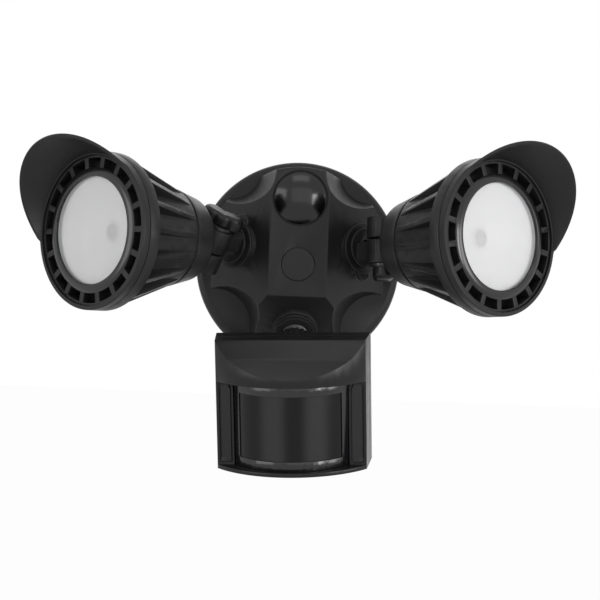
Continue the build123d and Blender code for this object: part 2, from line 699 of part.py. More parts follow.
def make_knob(side):
    """Two-winged knob on the knuckle bolt."""
    frame = head_frame(side)
    start = SEAM_OFFSET + TEETH_GAP / 2 + ARM_HALF + PIN_WASHER_THICKNESS + SEAT_GAP
    lies = Vector(*KNOB_LIES[side])
    lies = (lies - frame.x_dir * lies.dot(frame.x_dir)).normalized()
    base = Plane(origin=frame.origin + frame.x_dir * start, x_dir=lies, z_dir=frame.x_dir)
    with BuildPart() as knob:
        with BuildSketch(base):
            SlotOverall(KNOB_LENGTH, KNOB_WIDTH)
        extrude(amount=KNOB_THICKNESS)
        fillet(knob.faces().sort_by(Axis(base.origin, base.z_dir))[-1].edges(), KNOB_ROUND)
        with BuildSketch(base):
            Circle(PIN_RADIUS + RUN_FIT)
        extrude(amount=KNOB_THICKNESS - KNOB_CROWN, mode=Mode.SUBTRACT)
    return knob.part


# ---------------------------------------------------------------- lamp heads
def make_rear_cap(side):
    """Driver housing behind the fins, with the lower half of the knuckle on its neck."""
    frame = head_frame(side)
    seam = SEAM_OFFSET - TEETH_GAP / 2
    low = seam - HEAD_HALF
    pin_plane = Plane(origin=frame.origin + frame.x_dir * low, x_dir=frame.z_dir, z_dir=frame.x_dir)
    neck_start = KNUCKLE_RADIUS + NECK_GAP
    neck_low = low + NECK_INSET
    neck_high = SEAM_OFFSET + ARM_HALF
    with BuildPart() as cap:
        with BuildSketch(radial_plane(frame)):
            with BuildLine():
                Polyline(
                    (0, HEAD_REAR),
                    (REAR_RADIUS, HEAD_REAR),
                    (SEAM_RADIUS, HEAD_SEAM),
                    (0, HEAD_SEAM),
                    close=True,
                )
            make_face()
        revolve(axis=axis_of(frame))
        fillet(cap.edges().filter_by(GeomType.CIRCLE).filter_by(
            lambda edge: abs(edge.radius - REAR_RADIUS) < 0.01), REAR_CAP_ROUND)
        with BuildSketch(radial_plane(frame)):
            with BuildLine():
                Polyline(
                    (0, HEAD_REAR + REAR_CAP_WALL),
                    (REAR_RADIUS - REAR_CAP_ROUND, HEAD_REAR + REAR_CAP_WALL),
                    (REAR_RADIUS - REAR_CAP_WALL, HEAD_REAR + REAR_CAP_ROUND),
                    (SEAM_RADIUS - REAR_CAP_WALL, HEAD_SEAM),
                    (0, HEAD_SEAM),
                    close=True,
                )
            make_face()
        revolve(axis=axis_of(frame), mode=Mode.SUBTRACT)
        with BuildSketch(pin_plane):
            Circle(KNUCKLE_RADIUS)
        extrude(amount=HEAD_HALF)
        with BuildSketch(frame.offset(0)):
            with Locations((low + HEAD_HALF / 2, 0)):
                RectangleRounded(HEAD_HALF - NECK_INSET, NECK_WIDTH, NECK_CORNER)
        extrude(amount=HEAD_REAR + NECK_DEPTH)
        with BuildSketch(frame.offset(neck_start)):
            with Locations(((neck_low + neck_high) / 2, 0)):
                RectangleRounded(neck_high - neck_low, NECK_WIDTH + NECK_INSET, NECK_CORNER)
        extrude(amount=HEAD_REAR - neck_start + NECK_DEPTH)
        with BuildSketch(frame.offset(HEAD_REAR + REAR_CAP_WALL / 2)):
            with Locations(*screw_spots(SCREW_CIRCLE)):
                Circle(SCREW_BOSS_RADIUS)
        extrude(amount=HEAD_SEAM - HEAD_REAR - REAR_CAP_WALL / 2)
        for radius, depth in (
            (CASE_SCREW_RADIUS + CASE_SCREW_PLAY, HEAD_SEAM - HEAD_REAR),
            (CASE_SCREW_HEAD + CASE_SCREW_PLAY, CASE_SCREW_SINK),
        ):
            with BuildSketch(frame.offset(HEAD_REAR)):
                with Locations(*screw_spots(SCREW_CIRCLE)):
                    Circle(radius)
            extrude(amount=depth, mode=Mode.SUBTRACT)
        add(cut_teeth(frame, seam, 1), mode=Mode.SUBTRACT)
        with BuildSketch(pin_plane):
            Circle(PIN_RADIUS + THREAD_FIT)
        extrude(amount=HEAD_HALF + 1, mode=Mode.SUBTRACT)
        with BuildSketch(pin_plane):
            RegularPolygon(PIN_HEAD_ACROSS / 2 + HEX_PLAY, 6, major_radius=False)
        extrude(amount=PIN_HEAD_HEIGHT + PIN_HEAD_SINK, mode=Mode.SUBTRACT)
        with BuildSketch(frame.offset(neck_start - NECK_GAP / 2)):
            Circle(NECK_BORE_RADIUS)
        extrude(amount=HEAD_REAR, mode=Mode.SUBTRACT)
    return cap.part


def chamber_floor():
    """Distance along the head of the cup's floor, on which the light source is mounted."""
    return HEAD_FRONT - BEZEL_THICKNESS - LENS_THICKNESS - REFLECTOR_DEPTH - LED_BOARD_THICKNESS


def screw_spots(*radii):
    """Where the three case screws stand round the head's axis, at one or more radii."""
    return [
        (radius * cos(radians(turn)), radius * sin(radians(turn)))
        for turn in SCREW_TURNS
        for radius in radii
    ]


def make_heat_sink(side):
    """Finned casting: a cup for the lamp, the fins that grow towards its collar, and the slots in front."""
    frame = head_frame(side)
    start = HEAD_SEAM + SEAL_THICKNESS
    cup_floor = chamber_floor()
    cup_rear = cup_floor - CUP_FLOOR_THICKNESS
    cup_front = HEAD_FRONT - BEZEL_LIP
    spigot = SLOT_OUTER + SPIGOT_WALL
    lens_seat = HEAD_FRONT - BEZEL_THICKNESS - LENS_THICKNESS
    run = COLLAR_REAR - start
    foot_radius = SEAM_RADIUS + (COLLAR_RADIUS - COLLAR_BEVEL - SEAM_RADIUS) * FIN_FOOT / run
    channel_start = foot_radius - (SLOT_INNER - foot_radius) * FIN_FOOT / (run - FIN_FOOT)
    with BuildPart() as channels:
        with BuildSketch(radial_plane(frame)):
            with BuildLine():
                Polyline(
                    (channel_start, start),
                    (2 * COLLAR_RADIUS, start),
                    (2 * COLLAR_RADIUS, COLLAR_REAR),
                    (SLOT_OUTER, COLLAR_REAR),
                    (SLOT_OUTER, HEAD_FRONT + 1),
                    (SLOT_INNER, HEAD_FRONT + 1),
                    (SLOT_INNER, COLLAR_REAR),
                    close=True,
                )
            make_face()
        revolve(axis=axis_of(frame))
        with BuildSketch(frame.offset(HEAD_SEAM)):
            with PolarLocations(0, FIN_COUNT):
                with Locations((COLLAR_RADIUS, 0)):
                    Rectangle(2 * COLLAR_RADIUS, FIN_THICKNESS)
        extrude(amount=COLLAR_RADIUS + HEAD_FRONT - HEAD_SEAM, mode=Mode.SUBTRACT)
    with BuildPart() as sink:
        with BuildSketch(radial_plane(frame)):
            with BuildLine():
                Polyline(
                    (0, start),
                    (SEAM_RADIUS, start),
                    (COLLAR_RADIUS - COLLAR_BEVEL, COLLAR_REAR),
                    (COLLAR_RADIUS, COLLAR_REAR + COLLAR_BEVEL),
                    (COLLAR_RADIUS, VISOR_RING_REAR),
                    (spigot, VISOR_RING_REAR),
                    (spigot, cup_front),
                    (0, cup_front),
                    close=True,
                )
            make_face()
        revolve(axis=axis_of(frame))
        add(channels.part, mode=Mode.SUBTRACT)
        with BuildSketch(radial_plane(frame)):
            with BuildLine():
                Polyline(
                    (0, cup_floor),
                    (REFLECTOR_RADIUS + THREAD_FIT, cup_floor),
                    (REFLECTOR_RADIUS + THREAD_FIT, lens_seat),
                    (LENS_RADIUS + THREAD_FIT, lens_seat),
                    (LENS_RADIUS + THREAD_FIT, cup_front + 1),
                    (0, cup_front + 1),
                    close=True,
                )
            make_face()
        revolve(axis=axis_of(frame), mode=Mode.SUBTRACT)
        with BuildSketch(frame.offset(start)):
            Circle(CHAMBER_RADIUS)
        extrude(amount=cup_rear - start, mode=Mode.SUBTRACT)
        with BuildSketch(frame.offset(start)):
            with Locations(*screw_spots(SCREW_CIRCLE, CHAMBER_RADIUS)):
                Circle(SCREW_BOSS_RADIUS)
            Circle((CHAMBER_RADIUS + SEAM_RADIUS) / 2, mode=Mode.INTERSECT)
        extrude(amount=SCREW_GRIP)
        with BuildSketch(frame.offset(start)):
            with Locations(*screw_spots(SCREW_CIRCLE)):
                Circle(CASE_SCREW_RADIUS + THREAD_FIT)
        extrude(amount=SCREW_GRIP - CASE_SCREW_END_GAP / 2, mode=Mode.SUBTRACT)
        with BuildSketch(frame.offset(cup_rear)):
            with Locations((WIRE_HOLE_OFFSET, 0)):
                Circle(WIRE_HOLE_RADIUS)
        extrude(amount=CUP_FLOOR_THICKNESS, mode=Mode.SUBTRACT)
    return sink.part


def make_case_seal(side):
    frame = head_frame(side)
    return disc(frame, HEAD_SEAM, SEAL_THICKNESS, SEAM_RADIUS - SEAL_INSET, CHAMBER_RADIUS + SEAL_INSET)


def make_case_screws(side):
    """Three screws that hold the rear cap to the casting."""
    frame = head_frame(side)
    end = HEAD_SEAM + SEAL_THICKNESS + SCREW_GRIP - 1.5 * CASE_SCREW_END_GAP
    cross_length, cross_width, cross_depth = CASE_SCREW_CROSS
    with BuildPart() as screws:
        with BuildSketch(frame.offset(HEAD_REAR + CASE_SCREW_INSET)):
            with Locations(*screw_spots(SCREW_CIRCLE)):
                Circle(CASE_SCREW_HEAD)
        extrude(amount=CASE_SCREW_SINK - CASE_SCREW_INSET)
        with BuildSketch(frame.offset(HEAD_REAR + CASE_SCREW_SINK)):
            with Locations(*screw_spots(SCREW_CIRCLE)):
                Circle(CASE_SCREW_RADIUS)
        extrude(amount=end - HEAD_REAR - CASE_SCREW_SINK)
        with BuildSketch(frame.offset(HEAD_REAR + CASE_SCREW_INSET)):
            with Locations(*screw_spots(SCREW_CIRCLE)):
                Rectangle(cross_length, cross_width)
                Rectangle(cross_width, cross_length)
        extrude(amount=cross_depth, mode=Mode.SUBTRACT)
    return screws.part


def make_lens_bezel(side):
    """Glossy ring that holds the lens in the cup."""
    frame = head_frame(side)
    lip = HEAD_FRONT - BEZEL_LIP
    return turned(frame, [
        (LENS_VISIBLE_RADIUS, HEAD_FRONT - BEZEL_DROP),
        (LENS_VISIBLE_RADIUS, HEAD_FRONT - BEZEL_THICKNESS),
        (LENS_RADIUS, HEAD_FRONT - BEZEL_THICKNESS),
        (LENS_RADIUS, lip),
        (SLOT_INNER, lip),
        (SLOT_INNER, HEAD_FRONT - BEZEL_BEVEL),
        (SLOT_INNER - BEZEL_BEVEL, HEAD_FRONT),
        (LENS_VISIBLE_RADIUS + BEZEL_BEVEL, HEAD_FRONT),
    ])


def make_lens(side):
    frame = head_frame(side)
    rear = HEAD_FRONT - BEZEL_THICKNESS - LENS_THICKNESS
    return disc(frame, rear, LENS_THICKNESS, LENS_RADIUS - THREAD_FIT)


def make_reflector(side):
    """White cone round the light source."""
    frame = head_frame(side)
    low = chamber_floor() + LED_BOARD_THICKNESS
    high = HEAD_FRONT - BEZEL_THICKNESS - LENS_THICKNESS
    throat = LED_RADIUS + THROAT_PLAY
    return turned(frame, [
        (throat, low),
        (throat + REFLECTOR_WALL, low),
        (REFLECTOR_RADIUS, high - REFLECTOR_RIM),
        (REFLECTOR_RADIUS, high),
        (REFLECTOR_RADIUS - REFLECTOR_WALL, high),
    ])


def make_led_board(side):
    frame = head_frame(side)
    floor = chamber_floor()
    with BuildPart() as board:
        with BuildSketch(frame.offset(floor)):
            Circle(LED_BOARD_RADIUS)
        extrude(amount=LED_BOARD_THICKNESS)
        with BuildSketch(frame.offset(floor + LED_BOARD_THICKNESS)):
            Circle(LED_RADIUS)
        extrude(amount=LED_HEIGHT)
    return board.part


def make_driver(side):
    """Driver board across the chamber behind the fins, with its larger components."""
    frame = head_frame(side)
    start = HEAD_SEAM + SEAL_THICKNESS + SCREW_GRIP + CASE_SCREW_END_GAP
    width = 2 * sqrt((CHAMBER_RADIUS - DRIVER_EDGE_GAP) ** 2 - DRIVER_THICKNESS**2)
    block_length, block_width, block_height = TRANSFORMER
    margin = DRIVER_LENGTH / 4
    board = Plane(origin=along(frame, start), x_dir=frame.z_dir, z_dir=frame.x_dir)
    with BuildPart() as driver:
        with BuildSketch(board):
            with Locations((DRIVER_LENGTH / 2, 0)):
                Rectangle(DRIVER_LENGTH, width)
        extrude(amount=DRIVER_THICKNESS)
        with BuildSketch(board.offset(DRIVER_THICKNESS)):
            with Locations((DRIVER_LENGTH / 2, -DRIVER_PARTS_ACROSS)):
                Rectangle(block_length, block_width)
        extrude(amount=block_height)
        with BuildSketch(board.offset(DRIVER_THICKNESS)):
            with Locations((margin, DRIVER_PARTS_ACROSS), (DRIVER_LENGTH - margin, DRIVER_PARTS_ACROSS)):
                Circle(DRIVER_CAN_RADIUS)
        extrude(amount=DRIVER_CAN_HEIGHT)
    return driver.part


def make_visor(side):
    """The ring that turns on the casting's spigot, and the flared visor cut slantwise from it."""
    frame = head_frame(side)
    roll = radians(VISOR_ROLL)
    outboard = upright(frame.z_dir).cross(frame.z_dir) * SIDES[side]
    centre = upright(frame.z_dir) * cos(roll) + outboard * sin(roll)
    turned_frame = Plane(origin=frame.origin, x_dir=centre, z_dir=frame.z_dir)
    spigot = SLOT_OUTER + SPIGOT_WALL + RUN_FIT
    rear = VISOR_RING_REAR + SEAT_GAP
    rise = VISOR_LENGTH * sin(radians(VISOR_FLARE))
    reach = VISOR_LENGTH * cos(radians(VISOR_FLARE))
    end = COLLAR_RADIUS * cos(radians(VISOR_HALF_SPAN))
    slant = reach / (COLLAR_RADIUS + rise - end)
    far = 3 * COLLAR_RADIUS
    with BuildPart() as visor:
        with BuildSketch(radial_plane(turned_frame)):
            with BuildLine():
                Polyline(
                    (spigot, rear + VISOR_RING / 2),
                    (COLLAR_RADIUS, rear + VISOR_RING / 2),
                    (COLLAR_RADIUS, HEAD_FRONT),
                    (COLLAR_RADIUS + rise, HEAD_FRONT + reach),
                    (COLLAR_RADIUS + rise - VISOR_THICKNESS, HEAD_FRONT + reach),
                    (COLLAR_RADIUS - VISOR_THICKNESS, HEAD_FRONT),
                    (spigot, HEAD_FRONT),
                    close=True,
                )
            make_face()
        revolve(axis=axis_of(turned_frame))
        with BuildSketch(radial_plane(turned_frame)):
            with BuildLine():
                Polyline(
                    (-far, HEAD_FRONT),
                    (end, HEAD_FRONT),
                    (far, HEAD_FRONT + (far - end) * slant),
                    (far, HEAD_FRONT + far),
                    (-far, HEAD_FRONT + far),
                    close=True,
                )
            make_face()
        extrude(amount=far, both=True, mode=Mode.SUBTRACT)
        with BuildSketch(frame.offset(rear)):
            Circle(COLLAR_RADIUS)
            Circle(spigot, mode=Mode.SUBTRACT)
        extrude(amount=VISOR_RING)
    return visor.part


# ---------------------------------------------------------------- sensor
def socket_frame():
    """The ball socket in the sensor's back: origin at the ball's centre, Z towards the port."""
    body = sensor_frame()
    tilt = radians(BOTTOM_SLOPE - SENSOR_PITCH)
    axis = body.y_dir * cos(tilt) + body.z_dir * sin(tilt)
    return Plane(origin=body.origin, x_dir=body.x_dir, z_dir=axis)


def make_sensor_arm():
    """Threaded stub, flange and necked stem with the ball on its end."""
    frame = sensor_port_frame()
    flange = BALL_REACH - PORT_STACK - ARM_RING_THICKNESS
    ball_end = sqrt(BALL_RADIUS**2 - STEM_RADIUS**2)
    neck_turn = degrees(atan2(ball_end, STEM_RADIUS))
    with BuildPart() as arm:
        with BuildSketch(radial_plane(frame)):
            with BuildLine():
                CenterArc((0, 0), BALL_RADIUS, -90, 90 + neck_turn)
                Polyline(
                    (STEM_RADIUS, ball_end),
                    (STEM_RADIUS, STEM_FLARE),
                    (STEM_ROOT_RADIUS, flange - FLANGE_THICKNESS),
                    (FLANGE_RADIUS, flange - FLANGE_THICKNESS),
                    (FLANGE_RADIUS, flange),
                    (STUB_RADIUS, flange),
                    (STUB_RADIUS, BALL_REACH + STUB_LENGTH),
                    (0, BALL_REACH + STUB_LENGTH),
                    (0, -BALL_RADIUS),
                )
            make_face()
        revolve(axis=axis_of(frame))
    return arm.part


def make_ball_liner():
    """Friction ring between the ball and the socket: a zone of a spherical shell."""
    frame = socket_frame()
    with BuildPart() as liner:
        with BuildSketch(radial_plane(frame)):
            Circle(LINER_OUTER)
            Circle(BALL_RADIUS + RUN_FIT, mode=Mode.SUBTRACT)
            with Locations((LINER_OUTER / 2, (LINER_TOP + LINER_BOTTOM) / 2)):
                Rectangle(LINER_OUTER, LINER_TOP - LINER_BOTTOM, mode=Mode.INTERSECT)
        revolve(axis=axis_of(frame))
    return liner.part


def make_clamp_nut():
    """Knurled nut that closes the ball socket; its mouth lets the stem swing."""
    frame = socket_frame()
    mouth = SOCKET_LIP + CLAMP_GAP
    flare = CLAMP_NUT_REAR - mouth
    with BuildPart() as nut:
        with BuildSketch(frame.offset(CLAMP_NUT_FRONT)):
            Circle(CLAMP_NUT_RADIUS)
            with PolarLocations(CLAMP_NUT_RADIUS + KNURL_RADIUS / 3, KNURL_COUNT):
                Circle(KNURL_RADIUS, mode=Mode.SUBTRACT)
        extrude(amount=CLAMP_NUT_REAR - CLAMP_NUT_FRONT)
        with BuildSketch(radial_plane(frame)):
            with BuildLine():
                Polyline(
                    (0, CLAMP_NUT_FRONT - 1),
                    (SOCKET_RADIUS + RUN_FIT, CLAMP_NUT_FRONT - 1),
                    (SOCKET_RADIUS + RUN_FIT, mouth),
                    (CLAMP_MOUTH_RADIUS, mouth),
                    (CLAMP_MOUTH_RADIUS + flare, CLAMP_NUT_REAR),
                    (0, CLAMP_NUT_REAR),
                    close=True,
                )
            make_face()
        revolve(axis=axis_of(frame), mode=Mode.SUBTRACT)
    return nut.part


def level(height):
    """A plane square to the sensor's height, with X across it and Y towards its back."""
    return sensor_frame().offset(height)


def facing(depth):
    """A plane parallel to the sensor's back, this far in front of it, facing forwards, Y up."""
    body = sensor_frame()
    origin = body.origin + body.y_dir * (SENSOR_BACK - depth)
    return Plane(origin=origin, x_dir=body.x_dir, z_dir=-body.y_dir)


def half_width(depth):
    """Half the width of the sensor's box at this depth in front of its back."""
    share = depth / SENSOR_BOX_DEPTH
    return SENSOR_REAR_HALF_WIDTH + (SENSOR_FRONT_HALF_WIDTH - SENSOR_REAR_HALF_WIDTH) * share


def box_slice(near, far, inset, low, high):
    """The tapered box of the sensor between two depths and two heights, drawn in by inset."""
    with BuildPart() as piece:
        with BuildSketch(level(low)):
            with BuildLine():
                Polyline(
                    (inset - half_width(near), SENSOR_BACK - near),
                    (inset - half_width(far), SENSOR_BACK - far),
                    (half_width(far) - inset, SENSOR_BACK - far),
                    (half_width(near) - inset, SENSOR_BACK - near),
                    close=True,
                )
            make_face()
        extrude(amount=high - low)
    return piece.part


def bulge(inset, low, high):
    """The round front that the hood and the floor share, in front of the box."""
    start = SENSOR_BACK - SENSOR_BOX_DEPTH
    side = SENSOR_FRONT_HALF_WIDTH - inset
    with BuildPart() as piece:
        with BuildSketch(level(low)):
            with BuildLine():
                Polyline((side, start), (side, start + HOOD_ROOT), (-side, start + HOOD_ROOT), (-side, start))
                ThreePointArc((-side, start), (0, start - SENSOR_BULGE + inset), (side, start))
            make_face()
        extrude(amount=high - low)
    return piece.part


def roof_cut(inset):
    """Everything above the folded roof of the hood, drawn in by inset."""
    body = sensor_frame()
    start = SENSOR_BACK - SENSOR_BOX_DEPTH
    run, fall = ROOF_FOLD
    top = SENSOR_TOP - inset
    profile = Plane(origin=body.origin, x_dir=body.y_dir, z_dir=body.x_dir)
    with BuildPart() as cut:
        with BuildSketch(profile):
            with BuildLine():
                Polyline(
                    (start, top),
                    (start - run, top - fall),
                    (start - SENSOR_BULGE, top - ROOF_TIP_DROP),
                    (start - 2 * SENSOR_BULGE, top - ROOF_TIP_DROP),
                    (start - 2 * SENSOR_BULGE, top + SENSOR_BULGE),
                    (start + HOOD_ROOT, top + SENSOR_BULGE),
                    (start + HOOD_ROOT, top),
                    close=True,
                )
            make_face()
        extrude(amount=2 * SENSOR_REAR_HALF_WIDTH, both=True)
    return cut.part


def sensor_bottom():
    return SENSOR_TOP - SENSOR_HEIGHT


def eye_plane_offset():
    """Where the axis of the round lens stands, as the sensor frame's Y."""
    front = SENSOR_BACK - SENSOR_BOX_DEPTH - SENSOR_BULGE + EYE_SETBACK
    return front + EYE_RADIUS


def screw_corners():
    """The four case screws, across and up on the sensor's back."""
    across = SENSOR_REAR_HALF_WIDTH - CORNER_SCREW_INSET
    high = SENSOR_TOP - CORNER_SCREW_INSET
    low = sensor_bottom() + CORNER_SCREW_INSET
    return [(sign * across, up) for sign in (-1, 1) for up in (high, low)]


def make_sensor_back():
    """Rear shell with the ball socket cast on it."""
    bottom = sensor_bottom()
    outer = box_slice(0, SENSOR_SPLIT - SPLIT_GAP, 0, bottom, SENSOR_TOP)
    inner = box_slice(
        SENSOR_WALL, SENSOR_SPLIT, SENSOR_WALL, bottom + SENSOR_WALL, SENSOR_TOP - SENSOR_WALL
    )
    frame = socket_frame()
    with BuildPart() as back:
        add(outer)
        add(inner, mode=Mode.SUBTRACT)
        with BuildSketch(frame.offset(-SOCKET_DEPTH)):
            Circle(SOCKET_RADIUS)
        extrude(amount=SOCKET_DEPTH + SOCKET_LIP)
        with BuildSketch(facing(SENSOR_WALL / 2)):
            with Locations(*screw_corners()):
                Circle(SENSOR_BOSS_RADIUS)
        extrude(amount=SENSOR_SPLIT - SPLIT_GAP - SENSOR_WALL / 2)
        with BuildSketch(radial_plane(frame)):
            Circle(LINER_OUTER + RUN_FIT)
            with Locations((-LINER_OUTER, 0)):
                Rectangle(2 * LINER_OUTER, 4 * LINER_OUTER, mode=Mode.SUBTRACT)
        revolve(axis=axis_of(frame), mode=Mode.SUBTRACT)
        with BuildSketch(frame.offset(-SOCKET_DEPTH)):
            Circle(SENSOR_WIRE_RADIUS)
        extrude(amount=SOCKET_DEPTH, mode=Mode.SUBTRACT)
        with BuildSketch(facing(0)):
            with Locations(*screw_corners()):
                Circle(CASE_SCREW_RADIUS + CASE_SCREW_PLAY)
        extrude(amount=SENSOR_SPLIT, mode=Mode.SUBTRACT)
        with BuildSketch(facing(0)):
            with Locations(*screw_corners()):
                Circle(CASE_SCREW_HEAD + CASE_SCREW_PLAY)
        extrude(amount=CASE_SCREW_SINK, mode=Mode.SUBTRACT)
    return back.part


def make_sensor_front():
    """Front shell: hood over the lens, side cheeks with recessed panels, and the floor."""
    bottom = sensor_bottom()
    lip = SENSOR_TOP - HOOD_HEIGHT
    wall = SENSOR_WALL
    box_front = facing(SENSOR_BOX_DEPTH)
    cheek_inner = EYE_HALF_WIDTH + SPLIT_GAP
    cheek = (half_width(SENSOR_BOX_DEPTH) + cheek_inner) / 2
    panel_width = half_width(SENSOR_BOX_DEPTH) - cheek_inner - 2 * PANEL_MARGIN
    panel_height = lip - bottom - FLOOR_THICKNESS - 2 * PANEL_MARGIN
    middle = (lip + bottom + FLOOR_THICKNESS) / 2
    box = box_slice(SENSOR_SPLIT, SENSOR_BOX_DEPTH, 0, bottom, SENSOR_TOP)
    hollow = box_slice(SENSOR_SPLIT - 1, SENSOR_BOX_DEPTH - wall, wall, bottom + wall, SENSOR_TOP - wall)
    hood = bulge(0, lip, SENSOR_TOP)
    under_hood = bulge(wall, lip - 1, SENSOR_TOP - wall)
    floor = bulge(0, bottom, bottom + FLOOR_THICKNESS)
    roof = roof_cut(0)
    ceiling = roof_cut(wall)
    with BuildPart() as under_roof:
        add(under_hood)
        add(ceiling, mode=Mode.SUBTRACT)
    with BuildPart() as shell:
        add(hood)
        add(roof, mode=Mode.SUBTRACT)
        add(box)
        add(floor)
        add(hollow, mode=Mode.SUBTRACT)
        add(under_roof.part, mode=Mode.SUBTRACT)
        # the opening behind the lens frame
        with BuildSketch(box_front):
            with Locations((0, middle)):
                Rectangle(2 * cheek_inner, lip - bottom - FLOOR_THICKNESS)
        extrude(amount=-SENSOR_BOX_DEPTH / 2, mode=Mode.SUBTRACT)
        with BuildSketch(box_front):
            with Locations((-cheek, middle), (cheek, middle)):
                RectangleRounded(panel_width, panel_height, PANEL_CORNER)
        extrude(amount=-PANEL_RECESS, mode=Mode.SUBTRACT)
        with BuildSketch(facing(SENSOR_SPLIT)):
            with Locations(*screw_corners()):
                Circle(SENSOR_BOSS_RADIUS)
        extrude(amount=SENSOR_BOX_DEPTH - SENSOR_SPLIT - wall / 2)
        with BuildSketch(facing(SENSOR_SPLIT)):
            with Locations(*screw_corners()):
                Circle(CASE_SCREW_RADIUS + THREAD_FIT)
        extrude(amount=SENSOR_GRIP, mode=Mode.SUBTRACT)
        with BuildSketch(level(bottom)):
            with Locations(*dial_spots()):
                Circle(DIAL_RADIUS + RUN_FIT)
        extrude(amount=2 * FLOOR_THICKNESS, mode=Mode.SUBTRACT)
    return shell.part


def dial_spots():
    """The three dials under the sensor, across and back in its frame."""
    back = SENSOR_BACK - DIAL_DEPTH
    return [(index * DIAL_SPACING, back) for index in (-1, 0, 1)]


def eye_shell(outer, inner, half, low, high):
    """A slice of the round lens wall between two radii, as wide as half each side."""
    with BuildPart() as piece:
        with BuildSketch(level(low)):
            with Locations((0, eye_plane_offset())):
                Circle(outer)
                Circle(inner, mode=Mode.SUBTRACT)
            with Locations((0, eye_plane_offset() - outer)):
                Rectangle(2 * half, 2 * outer - EYE_RADIUS / 2, mode=Mode.INTERSECT)
        extrude(amount=high - low)
    return piece.part


def make_lens_frame():
    """Glossy round frame of the sensor's eye, with bands above and below the window."""
    low = sensor_bottom() + FLOOR_THICKNESS + THREAD_FIT
    high = SENSOR_TOP - HOOD_HEIGHT
    outer = eye_shell(EYE_RADIUS, EYE_RADIUS - EYE_WALL, EYE_HALF_WIDTH, low, high)
    window = eye_shell(
        EYE_RADIUS + EYE_WALL,
        EYE_RADIUS - 2 * EYE_WALL,
        WINDOW_HALF_WIDTH,
        low + WINDOW_BAND,
        high - WINDOW_BAND,
    )
    lid = eye_shell(EYE_RADIUS, EYE_WALL, EYE_HALF_WIDTH, high - EYE_WALL, high)
    with BuildPart() as frame:
        add(outer)
        add(lid)
        with BuildSketch(facing(EYE_REAR)):
            with Locations((0, (low + high) / 2)):
                Rectangle(3 * EYE_RADIUS, high - low + EYE_WALL)
        extrude(amount=-2 * EYE_RADIUS, mode=Mode.SUBTRACT)
        add(window, mode=Mode.SUBTRACT)
    return frame.part


def make_sensor_lens():
    """Faceted infrared window, set in the frame's opening."""
    low = sensor_bottom() + FLOOR_THICKNESS + THREAD_FIT
    high = SENSOR_TOP - HOOD_HEIGHT
    return eye_shell(
        EYE_RADIUS - LENS_INSET,
        EYE_RADIUS - EYE_WALL + LENS_REAR_INSET,
        WINDOW_HALF_WIDTH - THREAD_FIT,
        low + WINDOW_BAND + THREAD_FIT,
        high - WINDOW_BAND - THREAD_FIT,
    )


def make_sensor_board():
    """Circuit board on the rear shell's posts, with relay and capacitor."""
    low = sensor_bottom() + SENSOR_WALL + BOARD_MARGIN
    high = SENSOR_TOP - SENSOR_WALL - BOARD_MARGIN
    width = 2 * (SENSOR_REAR_HALF_WIDTH - CORNER_SCREW_INSET - SENSOR_BOSS_RADIUS - BOARD_MARGIN / 2)
    relay_width, relay_height, relay_depth = RELAY
    foot_across, foot_up = BOARD_FOOT
    middle = (low + high) / 2
    with BuildPart() as board:
        with BuildSketch(facing(BOARD_DEPTH)):
            with Locations((0, middle)):
                Rectangle(width, high - low)
        extrude(amount=BOARD_THICKNESS)
        with BuildSketch(facing(BOARD_DEPTH + BOARD_THICKNESS)):
            with Locations((-RELAY_ACROSS, high - relay_height)):
                Rectangle(relay_width, relay_height)
        extrude(amount=relay_depth)
        with BuildSketch(facing(BOARD_DEPTH + BOARD_THICKNESS)):
            with Locations((RELAY_ACROSS, high - relay_height)):
                Circle(relay_height / 2)
        extrude(amount=relay_depth)
        with BuildSketch(facing(BOARD_DEPTH)):
            with Locations((-foot_across, low + foot_up), (foot_across, low + foot_up)):
                Circle(BOARD_FOOT_RADIUS)
        extrude(amount=-(BOARD_DEPTH - SENSOR_WALL))
    return board.part


def make_detector():
    """Infrared detector can in the middle of the eye."""
    front = BOARD_DEPTH + BOARD_THICKNESS
    middle = (sensor_bottom() + FLOOR_THICKNESS + SENSOR_TOP - HOOD_HEIGHT) / 2
    window_width, window_height, window_depth = DETECTOR_WINDOW
    with BuildPart() as can:
        with BuildSketch(facing(front)):
            with Locations((0, middle)):
                Circle(DETECTOR_BASE_RADIUS)
        extrude(amount=DETECTOR_BASE_HEIGHT)
        with BuildSketch(facing(front + DETECTOR_BASE_HEIGHT)):
            with Locations((0, middle)):
                Circle(DETECTOR_RADIUS)
        extrude(amount=DETECTOR_HEIGHT)
        with BuildSketch(facing(front + DETECTOR_BASE_HEIGHT + DETECTOR_HEIGHT)):
            with Locations((0, middle)):
                Rectangle(window_width, window_height)
        extrude(amount=-window_depth, mode=Mode.SUBTRACT)
    return can.part


def make_sensor_screws():
    """Four screws through the rear shell into the front one."""
    end = SENSOR_SPLIT + SENSOR_GRIP - CASE_SCREW_END_GAP
    cross_length, cross_width, cross_depth = CASE_SCREW_CROSS
    with BuildPart() as screws:
        with BuildSketch(facing(CASE_SCREW_INSET)):
            with Locations(*screw_corners()):
                Circle(CASE_SCREW_HEAD)
        extrude(amount=CASE_SCREW_SINK - CASE_SCREW_INSET)
        with BuildSketch(facing(CASE_SCREW_SINK)):
            with Locations(*screw_corners()):
                Circle(CASE_SCREW_RADIUS)
        extrude(amount=end - CASE_SCREW_SINK)
        with BuildSketch(facing(CASE_SCREW_INSET)):
            with Locations(*screw_corners()):
                Rectangle(cross_length, cross_width)
                Rectangle(cross_width, cross_length)
        extrude(amount=cross_depth, mode=Mode.SUBTRACT)
    return screws.part


